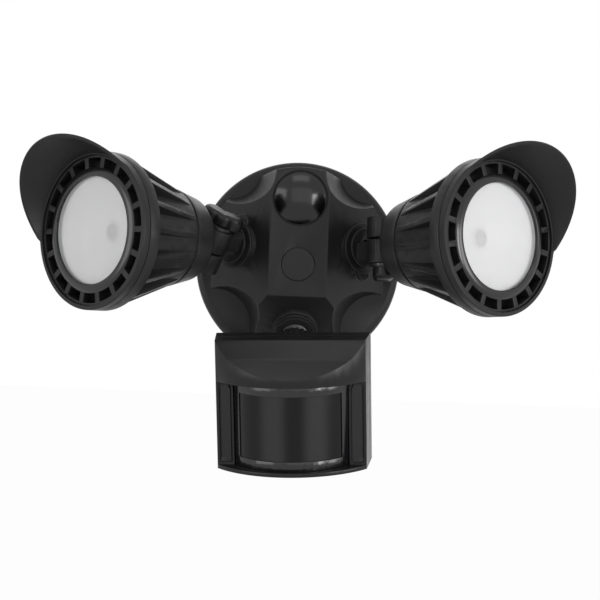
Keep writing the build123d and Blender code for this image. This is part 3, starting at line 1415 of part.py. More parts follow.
def make_dial(index):
    """One of the small adjusting dials in the sensor's floor."""
    spot = dial_spots()[index]
    base = level(sensor_bottom() - DIAL_PROUD)
    slot_width, slot_depth = DIAL_SLOT
    with BuildPart() as dial:
        with BuildSketch(base):
            with Locations(spot):
                Circle(DIAL_RADIUS)
        extrude(amount=DIAL_PROUD + FLOOR_THICKNESS + DIAL_SHAFT)
        with BuildSketch(base):
            with Locations(spot):
                Rectangle(slot_width, 3 * DIAL_RADIUS)
        extrude(amount=slot_depth, mode=Mode.SUBTRACT)
    return dial.part


# ---------------------------------------------------------------- the pieces
def main():
    write(make_canopy(), "canopy")
    write(make_wall_gasket(), "wall_gasket")
    write(make_mounting_strap(), "mounting_strap")
    write(make_centre_screw(), "centre_screw")
    write(make_centre_cap(), "centre_cap")
    write(make_top_plug(), "top_port_plug")
    write(make_ground_screw(), "ground_screw")
    for side in SIDES:
        pad = head_frame(side).offset(-KNUCKLE_REACH)
        write(make_port_gasket(pad, PORT_PAD_RADIUS), f"{side}_port_gasket")
        write(make_lock_nut(pad), f"{side}_lock_nut")
        write(make_arm_ring(side), f"{side}_arm_ring")
        write(make_arm(side), f"{side}_arm")
        write(make_knuckle_bolt(side), f"{side}_knuckle_bolt")
        write(make_knuckle_washer(side), f"{side}_knuckle_washer")
        write(make_knob(side), f"{side}_knuckle_knob")
        write(make_rear_cap(side), f"{side}_rear_cap")
        write(make_case_seal(side), f"{side}_case_seal")
        write(make_case_screws(side), f"{side}_case_screws")
        write(make_heat_sink(side), f"{side}_heat_sink")
        write(make_driver(side), f"{side}_driver")
        write(make_led_board(side), f"{side}_led_board")
        write(make_reflector(side), f"{side}_reflector")
        write(make_lens(side), f"{side}_lens")
        write(make_lens_bezel(side), f"{side}_lens_bezel")
        write(make_visor(side), f"{side}_visor")
    write(make_port_gasket(bottom_port(), BOTTOM_PAD_RADIUS), "sensor_port_gasket")
    write(make_lock_nut(bottom_port()), "sensor_lock_nut")
    write(make_sensor_arm_ring(), "sensor_arm_ring")
    write(make_sensor_arm(), "sensor_arm")
    write(make_ball_liner(), "sensor_ball_liner")
    write(make_clamp_nut(), "sensor_clamp_nut")
    write(make_sensor_back(), "sensor_back")
    write(make_sensor_front(), "sensor_front")
    write(make_lens_frame(), "sensor_lens_frame")
    write(make_sensor_lens(), "sensor_lens")
    write(make_sensor_board(), "sensor_board")
    write(make_detector(), "sensor_detector")
    write(make_sensor_screws(), "sensor_screws")
    for index, use in enumerate(("range", "time", "dusk")):
        write(make_dial(index), f"sensor_{use}_dial")


main()
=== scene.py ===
"""Motion sensor security light: materials, detail pieces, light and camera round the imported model."""

import json
import math

import bmesh
import bpy
from mathutils import Matrix, Vector

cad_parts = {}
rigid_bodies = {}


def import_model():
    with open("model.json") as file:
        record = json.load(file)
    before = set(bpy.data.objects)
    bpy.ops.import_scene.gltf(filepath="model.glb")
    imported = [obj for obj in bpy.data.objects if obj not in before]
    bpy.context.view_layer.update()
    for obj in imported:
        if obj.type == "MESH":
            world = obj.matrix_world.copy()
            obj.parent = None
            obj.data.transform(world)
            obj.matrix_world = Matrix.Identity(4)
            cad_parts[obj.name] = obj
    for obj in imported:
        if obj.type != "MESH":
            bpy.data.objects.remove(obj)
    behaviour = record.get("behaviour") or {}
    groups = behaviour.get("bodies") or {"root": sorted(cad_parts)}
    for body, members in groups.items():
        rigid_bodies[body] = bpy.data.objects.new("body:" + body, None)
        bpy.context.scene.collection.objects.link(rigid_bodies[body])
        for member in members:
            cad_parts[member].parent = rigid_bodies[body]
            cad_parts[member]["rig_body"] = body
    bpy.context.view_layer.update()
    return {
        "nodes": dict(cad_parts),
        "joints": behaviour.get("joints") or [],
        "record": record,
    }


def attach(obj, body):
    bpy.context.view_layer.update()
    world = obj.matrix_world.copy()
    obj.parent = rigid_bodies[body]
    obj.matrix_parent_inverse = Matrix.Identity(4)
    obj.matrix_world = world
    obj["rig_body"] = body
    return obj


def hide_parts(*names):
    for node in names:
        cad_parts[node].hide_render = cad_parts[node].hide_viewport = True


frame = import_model()
nodes = frame["nodes"]
joints = {joint["name"]: joint for joint in frame["joints"]}
slot_of = {part["node"]: part["material_slot"] for part in frame["record"]["subparts"]}
MM = 0.001

# The photograph's camera, in metres and degrees
CAMERA_PLACE = (-0.0056, -1.0, 0.004)
CAMERA_YAW, CAMERA_PITCH, CAMERA_ROLL = 0.46, -1.5, 2.22
CAMERA_LENS, CAMERA_SENSOR = 96.6, 36.0

# Light and floor, in metres
AMBIENT = 0.36
FLOOR_LEVEL = -0.6
FLOOR_HALF = 6.0                    # half of the floor's side
FLOOR_SEEN = 0.97                   # how white the floor looks, its shadow aside
SOFTBOXES = (                       # name, place, target, width, height, watts
    ("softbox_right", (0.85, -1.1, 0.03), (0, 0, 0), 0.3, 0.6, 6),
    ("softbox_side", (1.12, -0.66, 0.0), (0, 0, 0), 0.4, 0.5, 3.5),
    ("softbox_left", (-1.15, -0.85, 0.1), (0, 0, 0), 0.8, 1.0, 6),
    ("softbox_front", (0.1, -1.6, 0.3), (0, 0, 0), 1.6, 1.1, 3),
    ("softbox_top", (0.0, -0.8, 1.15), (0, -0.05, 0), 0.9, 0.4, 1.6),
    ("softbox_back", (0.2, 1.3, 0.8), (0, 0, 0), 1.2, 0.9, 3),
)

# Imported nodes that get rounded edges, with the width of the rounding
WELD = 0.002 * MM                   # points closer than this become one
FLAT_ANGLE = 0.05                   # degrees; faces bent less than this become one
EASED_ANGLE = 32                    # degrees; edges bent more than this are rounded
EASED_ON_LAMP = {"rear_cap": 0.5 * MM, "heat_sink": 0.35 * MM, "arm": 0.4 * MM, "arm_ring": 0.3 * MM}
EASED = {
    "canopy": 0.5 * MM, "sensor_front": 0.22 * MM, "sensor_back": 0.4 * MM, "sensor_clamp_nut": 0.25 * MM,
    "sensor_lens_frame": 0.3 * MM, "centre_cap": 0.2 * MM, "sensor_arm_ring": 0.4 * MM,
}
PLUG_EASED = 0.3 * MM

# Winged knob
KNOB_POINTS = 96                    # round its outline
KNOB_HOLLOW = 0.9 * MM              # depth of the finger hollows
KNOB_HOLLOW_AT = math.radians(52)   # from the wings' line to the middle of a hollow
KNOB_HOLLOW_SPREAD = 0.2            # radians; how wide a hollow is
KNOB_DISH = 0.9 * MM                # how far the crown is hollowed towards its middle
KNOB_EYE = 0.7 * MM                 # depth of the crown's centre below its edge
KNOB_LAYERS = (                     # share of the height, and how far in the outline lies there, in mm
    (0.0, 0.5), (0.05, 0.1), (0.12, 0.0), (0.55, 0.0), (0.72, 0.25), (0.86, 0.8), (0.95, 1.6), (1.0, 2.6))

# Turned pieces of a lamp's front; the profiles are in mm, outward and forward
TURNED_POINTS = 144                 # round a turned piece
TURNED_EDGE = 0.12 * MM             # width of the rounding on its edges
TURNED_ANGLE = 25                   # degrees; edges bent more than this are rounded
GLASS_GAP = 0.02 * MM               # how far the bezel's inner step lies ahead of the lens
BEZEL_STEP = 0.5 * MM               # how far the ring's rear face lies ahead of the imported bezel's
BEZEL_LIP = 0.9 * MM                # from its bore to the foot of its crown
BEZEL_LIP_PROFILE = ((0.15, -0.5), (0.6, -0.05))        # from the bore and the bezel's front
CROWN_BEND = 0.8                    # sine of the crown's turn at the outer edge
CROWN_FALL = 0.6                    # its fall over that turn, as a share of a circle's
CROWN_STEPS = 8
BOWL_WALL = 0.9 * MM
BOWL_RUN = 3.4 * MM                 # from the reflector's throat to where its bowl starts
BOWL_CURVE = 1.35                   # how the bowl steepens forward; 1 would be straight
BOWL_STEPS = 14
BOWL_BACK = 2.0 * MM                # how far the mouth's outer wall runs back
BOWL_LOW = 0.5                      # in mm, the bowl's floor above the reflector's rear
BOWL_THROAT = ((0.0, BOWL_LOW),)                        # from the throat
BOWL_RIDGE = ((-0.5, BOWL_LOW), (-0.3, 1.3))            # from the bowl's foot
BOWL_FLOOR_OUTSIDE = ((-0.5, 0.75), (-0.5, BOWL_LOW))   # from the bowl's foot
SOURCE_GAP = 0.25 * MM              # between the light source and the throat
SOURCE_PROFILE = ((0.0, 0.0), (0.0, 0.3), (-0.4, 0.45), (-0.7, 0.2))
SOURCE_RIM_WIDTH = 1.0              # in mm
SOURCE_RIM = ((0.0, BOWL_LOW), (0.0, 1.2), (0.3, 1.5), (0.9, 1.3), (SOURCE_RIM_WIDTH, BOWL_LOW))
BOWL_FLOOR_INSIDE = ((SOURCE_RIM_WIDTH, BOWL_LOW), (SOURCE_RIM_WIDTH, 0.6))     # from the throat
PINHOLE = 0.05 * MM                 # radius left open on the axis

# Visor
VISOR_HALF_SPAN = 68.0              # degrees from the visor's middle to where its rim meets the ring
VISOR_WALL = 1.8 * MM
VISOR_POINTS = 192                  # round the ring
VISOR_STEPS = 16                    # along the shell
VISOR_CURVE = 1.12                  # how the shell's flare grows forward; 1 would be straight
VISOR_ANGLE = 38                    # degrees; edges bent more than this look sharp
VISOR_WELD = 0.004 * MM             # points closer than this become one
VISOR_RIM_PROUD = 0.4               # roundness of the shell's rim, as a share of its wall
RING_ROUND = 0.9 * MM               # front edge of the visor's ring where no shell rises from it
RING_CHAMFER = 0.3 * MM             # rear edge of the ring
RING_BLEND = 25                     # how quickly the rounded edge gives way to a rising shell

# The slanted panels in the sensor's cheeks
PANEL_SIZE = (6.6 * MM, 46.0 * MM)
PANEL_CORNER = 1.4 * MM
PANEL_ACROSS = 38.35 * MM           # from the sensor's middle to a panel's
PANEL_LEVEL = -34.65 * MM           # a panel's middle, from the ball's centre
PANEL_FACE = -30.0 * MM             # the cheeks' face, in front of the ball's centre
PANEL_PROUD = -0.8 * MM             # depth of a panel's edge beside the window
PANEL_DEEP = 1.15 * MM              # depth of its outer edge
PANEL_FOOT = 1.8 * MM               # height of the ramp along its foot
PANEL_FLUSH = 0.1 * MM              # depth that the ramp rises to
PANEL_THICK = PANEL_DEEP + 0.1 * MM
PANEL_ROWS, PANEL_COLUMNS = 24, 6
PANEL_CROWDING = 1.5                # how the rows crowd towards the foot
PANEL_ANGLE = 35                    # degrees; edges bent more than this look sharp


# ---------------------------------------------------------------- materials
def new_material(name, colour, roughness, **inputs):
    """A Principled material with plain values on the shader's own sockets."""
    material = bpy.data.materials.new(name)
    material.use_nodes = True
    shader = material.node_tree.nodes["Principled BSDF"]
    shader.inputs["Base Color"].default_value = (*colour, 1.0)
    shader.inputs["Roughness"].default_value = roughness
    for key, value in inputs.items():
        shader.inputs[key.replace("_", " ")].default_value = value
    return material


def add_node(material, kind, **values):
    node = material.node_tree.nodes.new(kind)
    for key, value in values.items():
        node.inputs[key.replace("_", " ")].default_value = value
    return node


def link(material, source, target):
    material.node_tree.links.new(source, target)


def texture_space(material):
    return add_node(material, "ShaderNodeTexCoord").outputs["Object"]


def grain(material, size, depth, mottle=0.0, edge=0.0, spread=0.12):
    """Moulded or powder-coated grain: fine bumps, uneven gloss, mottled colour and softened edges."""
    shader = material.node_tree.nodes["Principled BSDF"]
    space = texture_space(material)
    fine = add_node(material, "ShaderNodeTexNoise", Scale=1 / size, Detail=3.0, Roughness=0.6)
    broad = add_node(material, "ShaderNodeTexNoise", Scale=1 / (size * 30), Detail=4.0, Roughness=0.55)
    link(material, space, fine.inputs["Vector"])
    link(material, space, broad.inputs["Vector"])
    bump = add_node(material, "ShaderNodeBump", Strength=1.0, Distance=depth)
    link(material, fine.outputs["Fac"], bump.inputs["Height"])
    if edge:
        soft = add_node(material, "ShaderNodeBevel", Radius=edge)
        soft.samples = 4
        link(material, soft.outputs["Normal"], bump.inputs["Normal"])
    link(material, bump.outputs["Normal"], shader.inputs["Normal"])
    gloss = add_node(material, "ShaderNodeMapRange")
    level = shader.inputs["Roughness"].default_value
    gloss.inputs["To Min"].default_value = max(0.02, level - spread)
    gloss.inputs["To Max"].default_value = min(1.0, level + spread)
    link(material, broad.outputs["Fac"], gloss.inputs["Value"])
    link(material, gloss.outputs["Result"], shader.inputs["Roughness"])
    if mottle:
        colour = shader.inputs["Base Color"].default_value[:3]
        ramp = add_node(material, "ShaderNodeValToRGB")
        ramp.color_ramp.elements[0].position = 0.3
        ramp.color_ramp.elements[1].position = 0.7
        ramp.color_ramp.elements[0].color = (*[c * (1 - mottle) for c in colour], 1)
        ramp.color_ramp.elements[1].color = (*[c * (1 + mottle) for c in colour], 1)
        link(material, fine.outputs["Fac"], ramp.inputs["Fac"])
        link(material, ramp.outputs["Color"], shader.inputs["Base Color"])
    return material


def reflection_bands(material, period, dark, light):
    """Upright soft bands of painted reflection across the sensor's window, darker and lighter in turn, in
    place of the studio's reflections in its lens segments.
    """
    shader = material.node_tree.nodes["Principled BSDF"]
    one_band_per_metre = 0.314
    bands = add_node(
        material, "ShaderNodeTexWave", Scale=one_band_per_metre / period, Distortion=1.6, Detail=1.0)
    bands.inputs["Detail Scale"].default_value = 0.6
    link(material, texture_space(material), bands.inputs["Vector"])
    ramp = add_node(material, "ShaderNodeValToRGB")
    ramp.color_ramp.interpolation = "EASE"
    ramp.color_ramp.elements[0].color = (dark, dark, dark, 1)
    ramp.color_ramp.elements[1].color = (light, light, light, 1)
    link(material, bands.outputs["Fac"], ramp.inputs["Fac"])
    link(material, ramp.outputs["Color"], shader.inputs["Base Color"])
    return material


LOOKS = {
    "cast_black": grain(
        new_material("cast_black", (0.012, 0.012, 0.0125), 0.42, Specular_IOR_Level=0.24),
        size=0.45 * MM, depth=0.05 * MM, mottle=0.16, edge=0.5 * MM),
    "plastic_black": grain(
        new_material("plastic_black", (0.009, 0.009, 0.0095), 0.33, Specular_IOR_Level=0.25),
        size=0.35 * MM, depth=0.03 * MM, mottle=0.1, edge=0.15 * MM),
    "gloss_black": grain(
        new_material("gloss_black", (0.006, 0.006, 0.007), 0.19, Specular_IOR_Level=0.5),
        size=1.2 * MM, depth=0.004 * MM, edge=0.3 * MM, spread=0.05),
    "plug_black": grain(
        new_material("plug_black", (0.003, 0.003, 0.0035), 0.17, Specular_IOR_Level=0.42),
        size=0.6 * MM, depth=0.005 * MM, edge=0.2 * MM, spread=0.05),
    # The window's colour is painted reflection: upright bands, darker and lighter, instead of reflected
    # light.
    "sensor_window": reflection_bands(grain(
        new_material("sensor_window", (0.008, 0.008, 0.009), 0.17, Specular_IOR_Level=0.2),
        size=1.5 * MM, depth=0.006 * MM, spread=0.06), period=25.0 * MM, dark=0.003, light=0.026),
    "rubber_black": grain(
        new_material("rubber_black", (0.02, 0.02, 0.02), 0.75),
        size=0.3 * MM, depth=0.03 * MM, mottle=0.15),
    "zinc_steel": grain(
        new_material("zinc_steel", (0.62, 0.63, 0.65), 0.32, Metallic=1.0),
        size=0.6 * MM, depth=0.02 * MM, mottle=0.08, edge=0.3 * MM),
    "dark_steel": grain(
        new_material("dark_steel", (0.03, 0.03, 0.032), 0.3, Metallic=0.3),
        size=0.4 * MM, depth=0.02 * MM, mottle=0.12, edge=0.3 * MM),
    "lamp_lens": grain(
        new_material("lamp_lens", (0.84, 0.84, 0.85), 0.4, Alpha=0.34, Specular_IOR_Level=0.2),
        size=0.5 * MM, depth=0.008 * MM, spread=0.05),
    "reflector_white": grain(
        new_material("reflector_white", (0.87, 0.87, 0.87), 0.35),
        size=0.8 * MM, depth=0.01 * MM, mottle=0.02),
    "board_white": grain(
        new_material("board_white", (0.8, 0.8, 0.78), 0.5),
        size=0.5 * MM, depth=0.01 * MM, mottle=0.03),
    "board_green": grain(
        new_material("board_green", (0.02, 0.12, 0.04), 0.45),
        size=1.0 * MM, depth=0.02 * MM, mottle=0.3),
    "light_source": grain(
        new_material("light_source", (0.36, 0.36, 0.34), 0.35),
        size=0.8 * MM, depth=0.01 * MM, mottle=0.05),
    # The bowl's floor: the reflector's white darkened to grey as painted shade round the light source.
    "bowl_floor_shade": grain(
        new_material("bowl_floor_shade", (0.52, 0.52, 0.52), 0.45),
        size=0.8 * MM, depth=0.01 * MM, mottle=0.03),
    "ground_green": grain(
        new_material("ground_green", (0.02, 0.24, 0.06), 0.35),
        size=0.6 * MM, depth=0.02 * MM, mottle=0.15, edge=0.3 * MM),
}


def paint_nodes():
    for name, node in nodes.items():
        node.data.materials.clear()
        node.data.materials.append(LOOKS[slot_of[name]])


# ---------------------------------------------------------------- camera
def aim_camera():
    """The photograph's camera: slightly right, a little down, and rolled."""
    yaw, pitch, roll = (math.radians(turn) for turn in (CAMERA_YAW, CAMERA_PITCH, CAMERA_ROLL))
    ahead = Vector((math.sin(yaw) * math.cos(pitch), math.cos(yaw) * math.cos(pitch), math.sin(pitch)))
    level = ahead.cross(Vector((0, 0, 1))).normalized()
    above = level.cross(ahead)
    right = level * math.cos(roll) + above * math.sin(roll)
    up = right.cross(ahead)
    camera_data = bpy.data.cameras.new("camera")
    camera_data.sensor_fit = "HORIZONTAL"
    camera_data.sensor_width = CAMERA_SENSOR
    camera_data.lens = CAMERA_LENS
    camera_data.clip_start = 0.01
    camera = bpy.data.objects.new("camera", camera_data)
    bpy.context.scene.collection.objects.link(camera)
    turn = Matrix((right, up, -ahead)).transposed().to_4x4()
    camera.matrix_world = Matrix.Translation(CAMERA_PLACE) @ turn
    bpy.context.scene.camera = camera


# ---------------------------------------------------------------- light and floor
def softbox(name, place, target, width, height, power):
    data = bpy.data.lights.new(name, "AREA")
    data.shape = "RECTANGLE"
    data.size = width
    data.size_y = height
    data.energy = power
    lamp = bpy.data.objects.new(name, data)
    bpy.context.scene.collection.objects.link(lamp)
    lamp.location = place
    lamp.rotation_euler = (Vector(target) - Vector(place)).to_track_quat("-Z", "Y").to_euler()


def white_where_seen(tree, shader_socket, white_socket, level):
    """Camera, glossy and transmission rays see white; other rays see the given shader."""
    path = tree.nodes.new("ShaderNodeLightPath")
    seen = path.outputs["Is Camera Ray"]
    for ray in ("Is Glossy Ray", "Is Transmission Ray"):
        either = tree.nodes.new("ShaderNodeMath")
        either.operation = "MAXIMUM"
        tree.links.new(seen, either.inputs[0])
        tree.links.new(path.outputs[ray], either.inputs[1])
        seen = either.outputs[0]
    scale = tree.nodes.new("ShaderNodeMath")
    scale.operation = "MULTIPLY"
    scale.inputs[1].default_value = level
    tree.links.new(seen, scale.inputs[0])
    mix = tree.nodes.new("ShaderNodeMixShader")
    tree.links.new(scale.outputs[0], mix.inputs[0])
    tree.links.new(shader_socket, mix.inputs[1])
    tree.links.new(white_socket, mix.inputs[2])
    return mix.outputs[0]


def light_world():
    world = bpy.data.worlds.new("studio")
    bpy.context.scene.world = world
    world.use_nodes = True
    tree = world.node_tree
    ambient = tree.nodes["Background"]
    ambient.inputs["Color"].default_value = (1, 1, 1, 1)
    ambient.inputs["Strength"].default_value = AMBIENT
    white = tree.nodes.new("ShaderNodeBackground")
    white.inputs["Color"].default_value = (1, 1, 1, 1)
    white.inputs["Strength"].default_value = 1.0
    surface = white_where_seen(tree, ambient.outputs[0], white.outputs[0], 1.0)
    tree.links.new(surface, tree.nodes["World Output"].inputs["Surface"])


def lay_floor():
    corners = [(x * FLOOR_HALF, y * FLOOR_HALF, FLOOR_LEVEL) for x, y in ((-1, -1), (1, -1), (1, 1), (-1, 1))]
    floor_data = bpy.data.meshes.new("floor")
    floor_data.from_pydata(corners, [], [(0, 1, 2, 3)])
    floor = bpy.data.objects.new("floor", floor_data)
    bpy.context.scene.collection.objects.link(floor)
    pale = bpy.data.materials.new("floor")
    pale.use_nodes = True
    tree = pale.node_tree
    shader = tree.nodes["Principled BSDF"]
    shader.inputs["Base Color"].default_value = (0.8, 0.8, 0.8, 1)
    shader.inputs["Roughness"].default_value = 0.8
    glow = tree.nodes.new("ShaderNodeEmission")
    surface = white_where_seen(tree, shader.outputs[0], glow.outputs[0], FLOOR_SEEN)
    tree.links.new(surface, tree.nodes["Material Output"].inputs["Surface"])
    floor_data.materials.append(pale)


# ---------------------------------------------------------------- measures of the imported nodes
def body_of_node(name):
    return nodes[name]["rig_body"]


def reach(name, origin, axis):
    """Least and greatest distance of a node's points along an axis through origin."""
    spots = [(vertex.co - origin).dot(axis) for vertex in nodes[name].data.vertices]
    return min(spots), max(spots)


def spokes(name, origin, axis):
    """The vectors, square to an axis, from the axis to each of a node's points."""
    offsets = [vertex.co - origin for vertex in nodes[name].data.vertices]
    return [offset - axis * offset.dot(axis) for offset in offsets]


def farthest(name, origin, axis):
    """The spoke to the node's point farthest from an axis."""
    return max(spokes(name, origin, axis), key=lambda spoke: spoke.length)


def radius_of(name, origin, axis):
    """Greatest distance of a node's points from an axis."""
    return farthest(name, origin, axis).length


def bore_of(name, origin, axis):
    """Least distance of a node's points from an axis."""
    return min(spoke.length for spoke in spokes(name, origin, axis))


def head_axis(side):
    """Origin and direction of a lamp head's axis, as the visor turns on it."""
    origin = Vector(joints[f"{side}_head_tilt"]["pos_m"])
    along = Vector(joints[f"{side}_visor_turn"]["axis"])
    return origin, along


# ---------------------------------------------------------------- tools for detail pieces
def new_piece(name, bm, material, body, *replaced):
    """Turn a bmesh into a smooth-shaded piece that rides on a body."""
    bmesh.ops.recalc_face_normals(bm, faces=bm.faces)
    mesh = bpy.data.meshes.new(name)
    bm.to_mesh(mesh)
    bm.free()
    mesh.materials.append(LOOKS[material])
    mesh.shade_smooth()
    piece = bpy.data.objects.new(name, mesh)
    bpy.context.scene.collection.objects.link(piece)
    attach(piece, body)
    if replaced:
        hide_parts(*replaced)
    return piece


def round_edges(piece, width, angle):
    """Round the edges that bend more than angle degrees."""
    bevel = piece.modifiers.new("edges", "BEVEL")
    bevel.width = width
    bevel.segments = 2
    bevel.limit_method = "ANGLE"
    bevel.angle_limit = math.radians(angle)
    bevel.harden_normals = True


def eased(name, width, look=None):
    """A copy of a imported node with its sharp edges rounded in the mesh."""
    bm = bmesh.new()
    bm.from_mesh(nodes[name].data)
    bmesh.ops.remove_doubles(bm, verts=bm.verts, dist=WELD)
    bmesh.ops.dissolve_limit(bm, angle_limit=math.radians(FLAT_ANGLE), verts=bm.verts, edges=bm.edges)
    piece = new_piece(name + "_eased", bm, look or slot_of[name], body_of_node(name), name)
    round_edges(piece, width, EASED_ANGLE)


def skin(bm, rings, closed=True, wrapped=False):
    """Join rings of points with quads; wrapped joins the last ring to the first as well."""
    loops = [[bm.verts.new(point) for point in ring] for ring in rings]
    for near, far in zip(loops, loops[1:] + (loops[:1] if wrapped else [])):
        count = len(near)
        for i in range(count if closed else count - 1):
            j = (i + 1) % count
            bm.faces.new((near[i], near[j], far[j], far[i]))
    return loops


def turned(name, side, outline, material, *replaced):
    """Revolve a closed outline of (radius, distance) points about a lamp head's axis."""
    origin, along = head_axis(side)
    across = along.orthogonal().normalized()
    over = along.cross(across)
    bm = bmesh.new()
    rings = []
    for radius, distance in outline:
        ring = []
        for i in range(TURNED_POINTS):
            turn = 2 * math.pi * i / TURNED_POINTS
            spoke = across * math.cos(turn) + over * math.sin(turn)
            ring.append(origin + along * distance + spoke * radius)
        rings.append(ring)
    skin(bm, rings, wrapped=True)
    piece = new_piece(name, bm, material, body_of_node(f"{side}_lens"), *replaced)
    round_edges(piece, TURNED_EDGE, TURNED_ANGLE)


def placed(profile, radius, distance):
    """A profile in mm, set out from a radius and a distance along the axis."""
    return [(radius + outward * MM, distance + forward * MM) for outward, forward in profile]


# ---------------------------------------------------------------- detail pieces
def winged_knob(side):
    """Two-winged knob with finger hollows and a dished crown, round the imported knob's own box."""
    name = f"{side}_knuckle_knob"
    pin = Vector(joints[f"{side}_knob_turn"]["axis"])
    origin = Vector(joints[f"{side}_head_tilt"]["pos_m"])
    low, high = reach(name, origin, pin)
    wing = farthest(name, origin, pin)
    half_length = wing.length
    long = wing.normalized()
    wide = pin.cross(long)
    half_width = max(abs((v.co - origin).dot(wide)) for v in nodes[name].data.vertices)
    straight = half_length - half_width

    def outline(turn):
        """Radius of a bar with round ends and finger hollows, at this turn from the wings' line."""
        c, s = abs(math.cos(turn)), abs(math.sin(turn))
        if s > 1e-6 and half_width / s * c < straight:
            radius = half_width / s
        else:
            radius = straight * c + math.sqrt(half_width**2 - (straight * s) ** 2)
        lean = min(turn % math.pi, math.pi - turn % math.pi)
        return radius - KNOB_HOLLOW * math.exp(-(((lean - KNOB_HOLLOW_AT) / KNOB_HOLLOW_SPREAD) ** 2))

    bm = bmesh.new()
    rings = []
    for share, inset in KNOB_LAYERS:
        ring = []
        for i in range(KNOB_POINTS):
            turn = 2 * math.pi * i / KNOB_POINTS
            radius = outline(turn) - inset * MM
            inwards = 1 - min(1.0, radius * abs(math.cos(turn)) / half_length)
            height = low + (high - low) * share - KNOB_DISH * share**3 * inwards**2
            ring.append(
                origin + long * radius * math.cos(turn) + wide * radius * math.sin(turn) + pin * height)
        rings.append(ring)
    loops = skin(bm, rings)
    bm.faces.new(loops[0][::-1])
    top = loops[-1]
    eye = sum((v.co for v in top), Vector()) / KNOB_POINTS - pin * KNOB_EYE
    middle = [bm.verts.new(eye.lerp(v.co, 0.5)) for v in top]
    centre = bm.verts.new(eye)
    for i in range(KNOB_POINTS):
        j = (i + 1) % KNOB_POINTS
        bm.faces.new((top[i], top[j], middle[j], middle[i]))
        bm.faces.new((middle[i], middle[j], centre))
    new_piece(f"{side}_knob_wings", bm, "plastic_black", body_of_node(name), name)


def bezel_ring(side):
    """Bezel with a lip at its bore and a rounded crown."""
    name = f"{side}_lens_bezel"
    origin, along = head_axis(side)
    rear, front = reach(name, origin, along)
    glass = reach(f"{side}_lens", origin, along)[1]
    outer, inner = radius_of(name, origin, along), bore_of(name, origin, along)
    seat = radius_of(f"{side}_lens", origin, along)
    crown_foot = inner + BEZEL_LIP
    swell = (outer - crown_foot) / CROWN_BEND
    crown = []
    for i in range(CROWN_STEPS + 1):
        lean = math.asin(CROWN_BEND) * i / CROWN_STEPS
        crown.append((crown_foot + swell * math.sin(lean), front - CROWN_FALL * swell * (1 - math.cos(lean))))
    bore = [(inner, glass + GLASS_GAP)] + placed(BEZEL_LIP_PROFILE, inner, front)
    behind = [(outer, rear + BEZEL_STEP), (seat, rear + BEZEL_STEP), (seat, glass + GLASS_GAP)]
    turned(f"{side}_bezel_ring", side, bore + crown + behind, "gloss_black", name)


def reflector_and_source(side):
    """Curved reflector bowl, the light source at its foot, and the rim and floor between them, the floor a
    darker grey of painted shade.
    """
    name = f"{side}_reflector"
    origin, along = head_axis(side)
    low, high = reach(name, origin, along)
    mouth, throat = radius_of(name, origin, along), bore_of(name, origin, along)
    foot = throat + BOWL_RUN
    start = low + BOWL_WALL
    bowl = []
    for i in range(BOWL_STEPS + 1):
        share = i / BOWL_STEPS
        bowl.append((foot + (mouth - BOWL_WALL - foot) * share, start + (high - start) * share**BOWL_CURVE))
    inside = placed(BOWL_THROAT, throat, low) + placed(BOWL_RIDGE, foot, low) + bowl
    outside = [(mouth, high), (mouth, high - BOWL_BACK), (throat, low)]
    turned(f"{side}_reflector_bowl", side, inside + outside, "reflector_white", name)

    board = reach(f"{side}_led_board", origin, along)[1]
    source = placed(SOURCE_PROFILE, throat - SOURCE_GAP, board)
    face = source[-1][1]
    source += [(PINHOLE, face), (PINHOLE, board)]
    turned(f"{side}_light_source", side, source, "light_source")
    turned(f"{side}_source_rim", side, placed(SOURCE_RIM, throat, low), "reflector_white")
    # The floor ring between the rim and the bowl's foot carries the painted shade.
    floor = placed(BOWL_FLOOR_INSIDE, throat, low) + placed(BOWL_FLOOR_OUTSIDE, foot, low)
    turned(f"{side}_bowl_floor_shade", side, floor, "bowl_floor_shade")


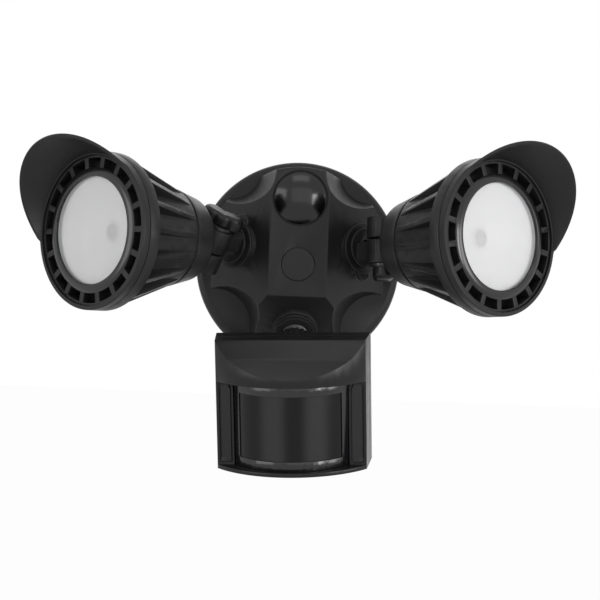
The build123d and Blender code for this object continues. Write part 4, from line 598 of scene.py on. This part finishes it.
def visor_shell(side):
    """Flared visor: its ring on the spigot, the shell curving out of it, and a rounded rim."""
    name = f"{side}_visor"
    origin, along = head_axis(side)
    ring_rear, tip = reach(name, origin, along)
    front = reach(f"{side}_lens_bezel", origin, along)[1]
    wide = farthest(name, origin, along)
    middle = wide.normalized()
    over = along.cross(middle)
    collar = radius_of(f"{side}_heat_sink", origin, along)
    bore = bore_of(name, origin, along)
    rise, out = wide.length - collar, tip - front
    half_span = math.radians(VISOR_HALF_SPAN)
    end = collar * math.cos(half_span)
    slant = out / (wide.length - end)

    def length_at(turn):
        """How far the shell runs forward at this turn round the head, as a share of its tip's."""
        if abs(turn) >= half_span:
            return 0.0
        return slant * (collar * math.cos(turn) - end) / (out - slant * rise * math.cos(turn))

    def section(share):
        """Closed outline of ring and shell, as (radius, distance) points."""
        shell = min(1.0, RING_BLEND * share)
        outer_line, inner_line = [], []
        for k in range(VISOR_STEPS + 1):
            run = share * k / VISOR_STEPS
            flare = rise * run**VISOR_CURVE
            bend = math.pi / 2 * k / VISOR_STEPS
            on_ring = (collar - RING_ROUND * (1 - math.cos(bend)), front - RING_ROUND * (1 - math.sin(bend)))
            on_shell = (collar + flare, front + out * run)
            outer_line.append(tuple(a + (b - a) * shell for a, b in zip(on_ring, on_shell)))
            inner_line.append((collar - VISOR_WALL + flare, front + out * run))
        rim = (collar - VISOR_WALL / 2 - (1 - shell) * VISOR_WALL / 4 + rise * share**VISOR_CURVE,
               front + (out * share + VISOR_WALL * VISOR_RIM_PROUD) * shell)
        rear = [(bore, ring_rear), (collar - RING_CHAMFER, ring_rear), (collar, ring_rear + RING_CHAMFER)]
        return rear + outer_line + [rim] + inner_line[::-1] + [(bore, front)]

    bm = bmesh.new()
    rings = []
    for i in range(VISOR_POINTS):
        turn = -math.pi + 2 * math.pi * i / VISOR_POINTS
        spoke = middle * math.cos(turn) + over * math.sin(turn)
        rings.append([origin + along * z + spoke * r for r, z in section(length_at(turn))])
    skin(bm, rings, wrapped=True)
    bmesh.ops.remove_doubles(bm, verts=bm.verts, dist=VISOR_WELD)
    piece = new_piece(f"{side}_visor_shell", bm, "cast_black", body_of_node(name), name)
    piece.data.set_sharp_from_angle(angle=math.radians(VISOR_ANGLE))


def cheek_panel(side, sign):
    """Slanted panel in the recess beside the window, with a small ramp along its foot."""
    origin = Vector(joints["sensor_tilt"]["pos_m"])
    right = Vector(joints["sensor_tilt"]["axis"])
    up = Vector(joints["sensor_pan"]["axis"])
    inward = up.cross(right)
    half_width, half_height = PANEL_SIZE[0] / 2, PANEL_SIZE[1] / 2

    def spot(across, height):
        """Front surface: proud beside the window, deep at the outside, ramped at the foot."""
        depth = PANEL_PROUD + (PANEL_DEEP - PANEL_PROUD) * (across * sign / half_width + 1) / 2
        foot = max(0.0, 1 - (height + half_height) / PANEL_FOOT)
        depth -= max(0.0, depth - PANEL_FLUSH) * foot
        place = right * (sign * PANEL_ACROSS + across) + up * (PANEL_LEVEL + height)
        return origin + place + inward * (PANEL_FACE + depth)

    bm = bmesh.new()
    grid = []
    for k in range(PANEL_ROWS + 1):
        height = -half_height + 2 * half_height * (k / PANEL_ROWS) ** PANEL_CROWDING
        into_corner = max(0.0, abs(height) - half_height + PANEL_CORNER)
        inset = PANEL_CORNER - math.sqrt(max(0.0, PANEL_CORNER**2 - into_corner**2))
        row_half = half_width - inset
        grid.append([
            spot(row_half * (2 * i / PANEL_COLUMNS - 1), height) for i in range(PANEL_COLUMNS + 1)])
    rows = skin(bm, grid, closed=False)
    border = rows[0] + [row[-1] for row in rows[1:]]
    border += rows[-1][-2::-1] + [row[0] for row in rows[-2:0:-1]]
    back = [bm.verts.new(v.co + inward * PANEL_THICK) for v in border]
    for i in range(len(border)):
        j = (i + 1) % len(border)
        bm.faces.new((border[i], border[j], back[j], back[i]))
    bm.faces.new(back)
    piece = new_piece(f"sensor_{side}_panel", bm, "plastic_black", body_of_node("sensor_front"))
    piece.data.set_sharp_from_angle(angle=math.radians(PANEL_ANGLE))


def build_pieces():
    cheek_panel("left", -1)
    cheek_panel("right", 1)
    for side in ("left", "right"):
        winged_knob(side)
        bezel_ring(side)
        reflector_and_source(side)
        visor_shell(side)
        for part, width in EASED_ON_LAMP.items():
            eased(f"{side}_{part}", width)
    for name, width in EASED.items():
        eased(name, width)
    eased("top_port_plug", PLUG_EASED, look="plug_black")


# ---------------------------------------------------------------- the scene
paint_nodes()
aim_camera()
light_world()
lay_floor()
for box in SOFTBOXES:
    softbox(*box)
build_pieces()
bpy.context.scene.view_settings.view_transform = "Standard"
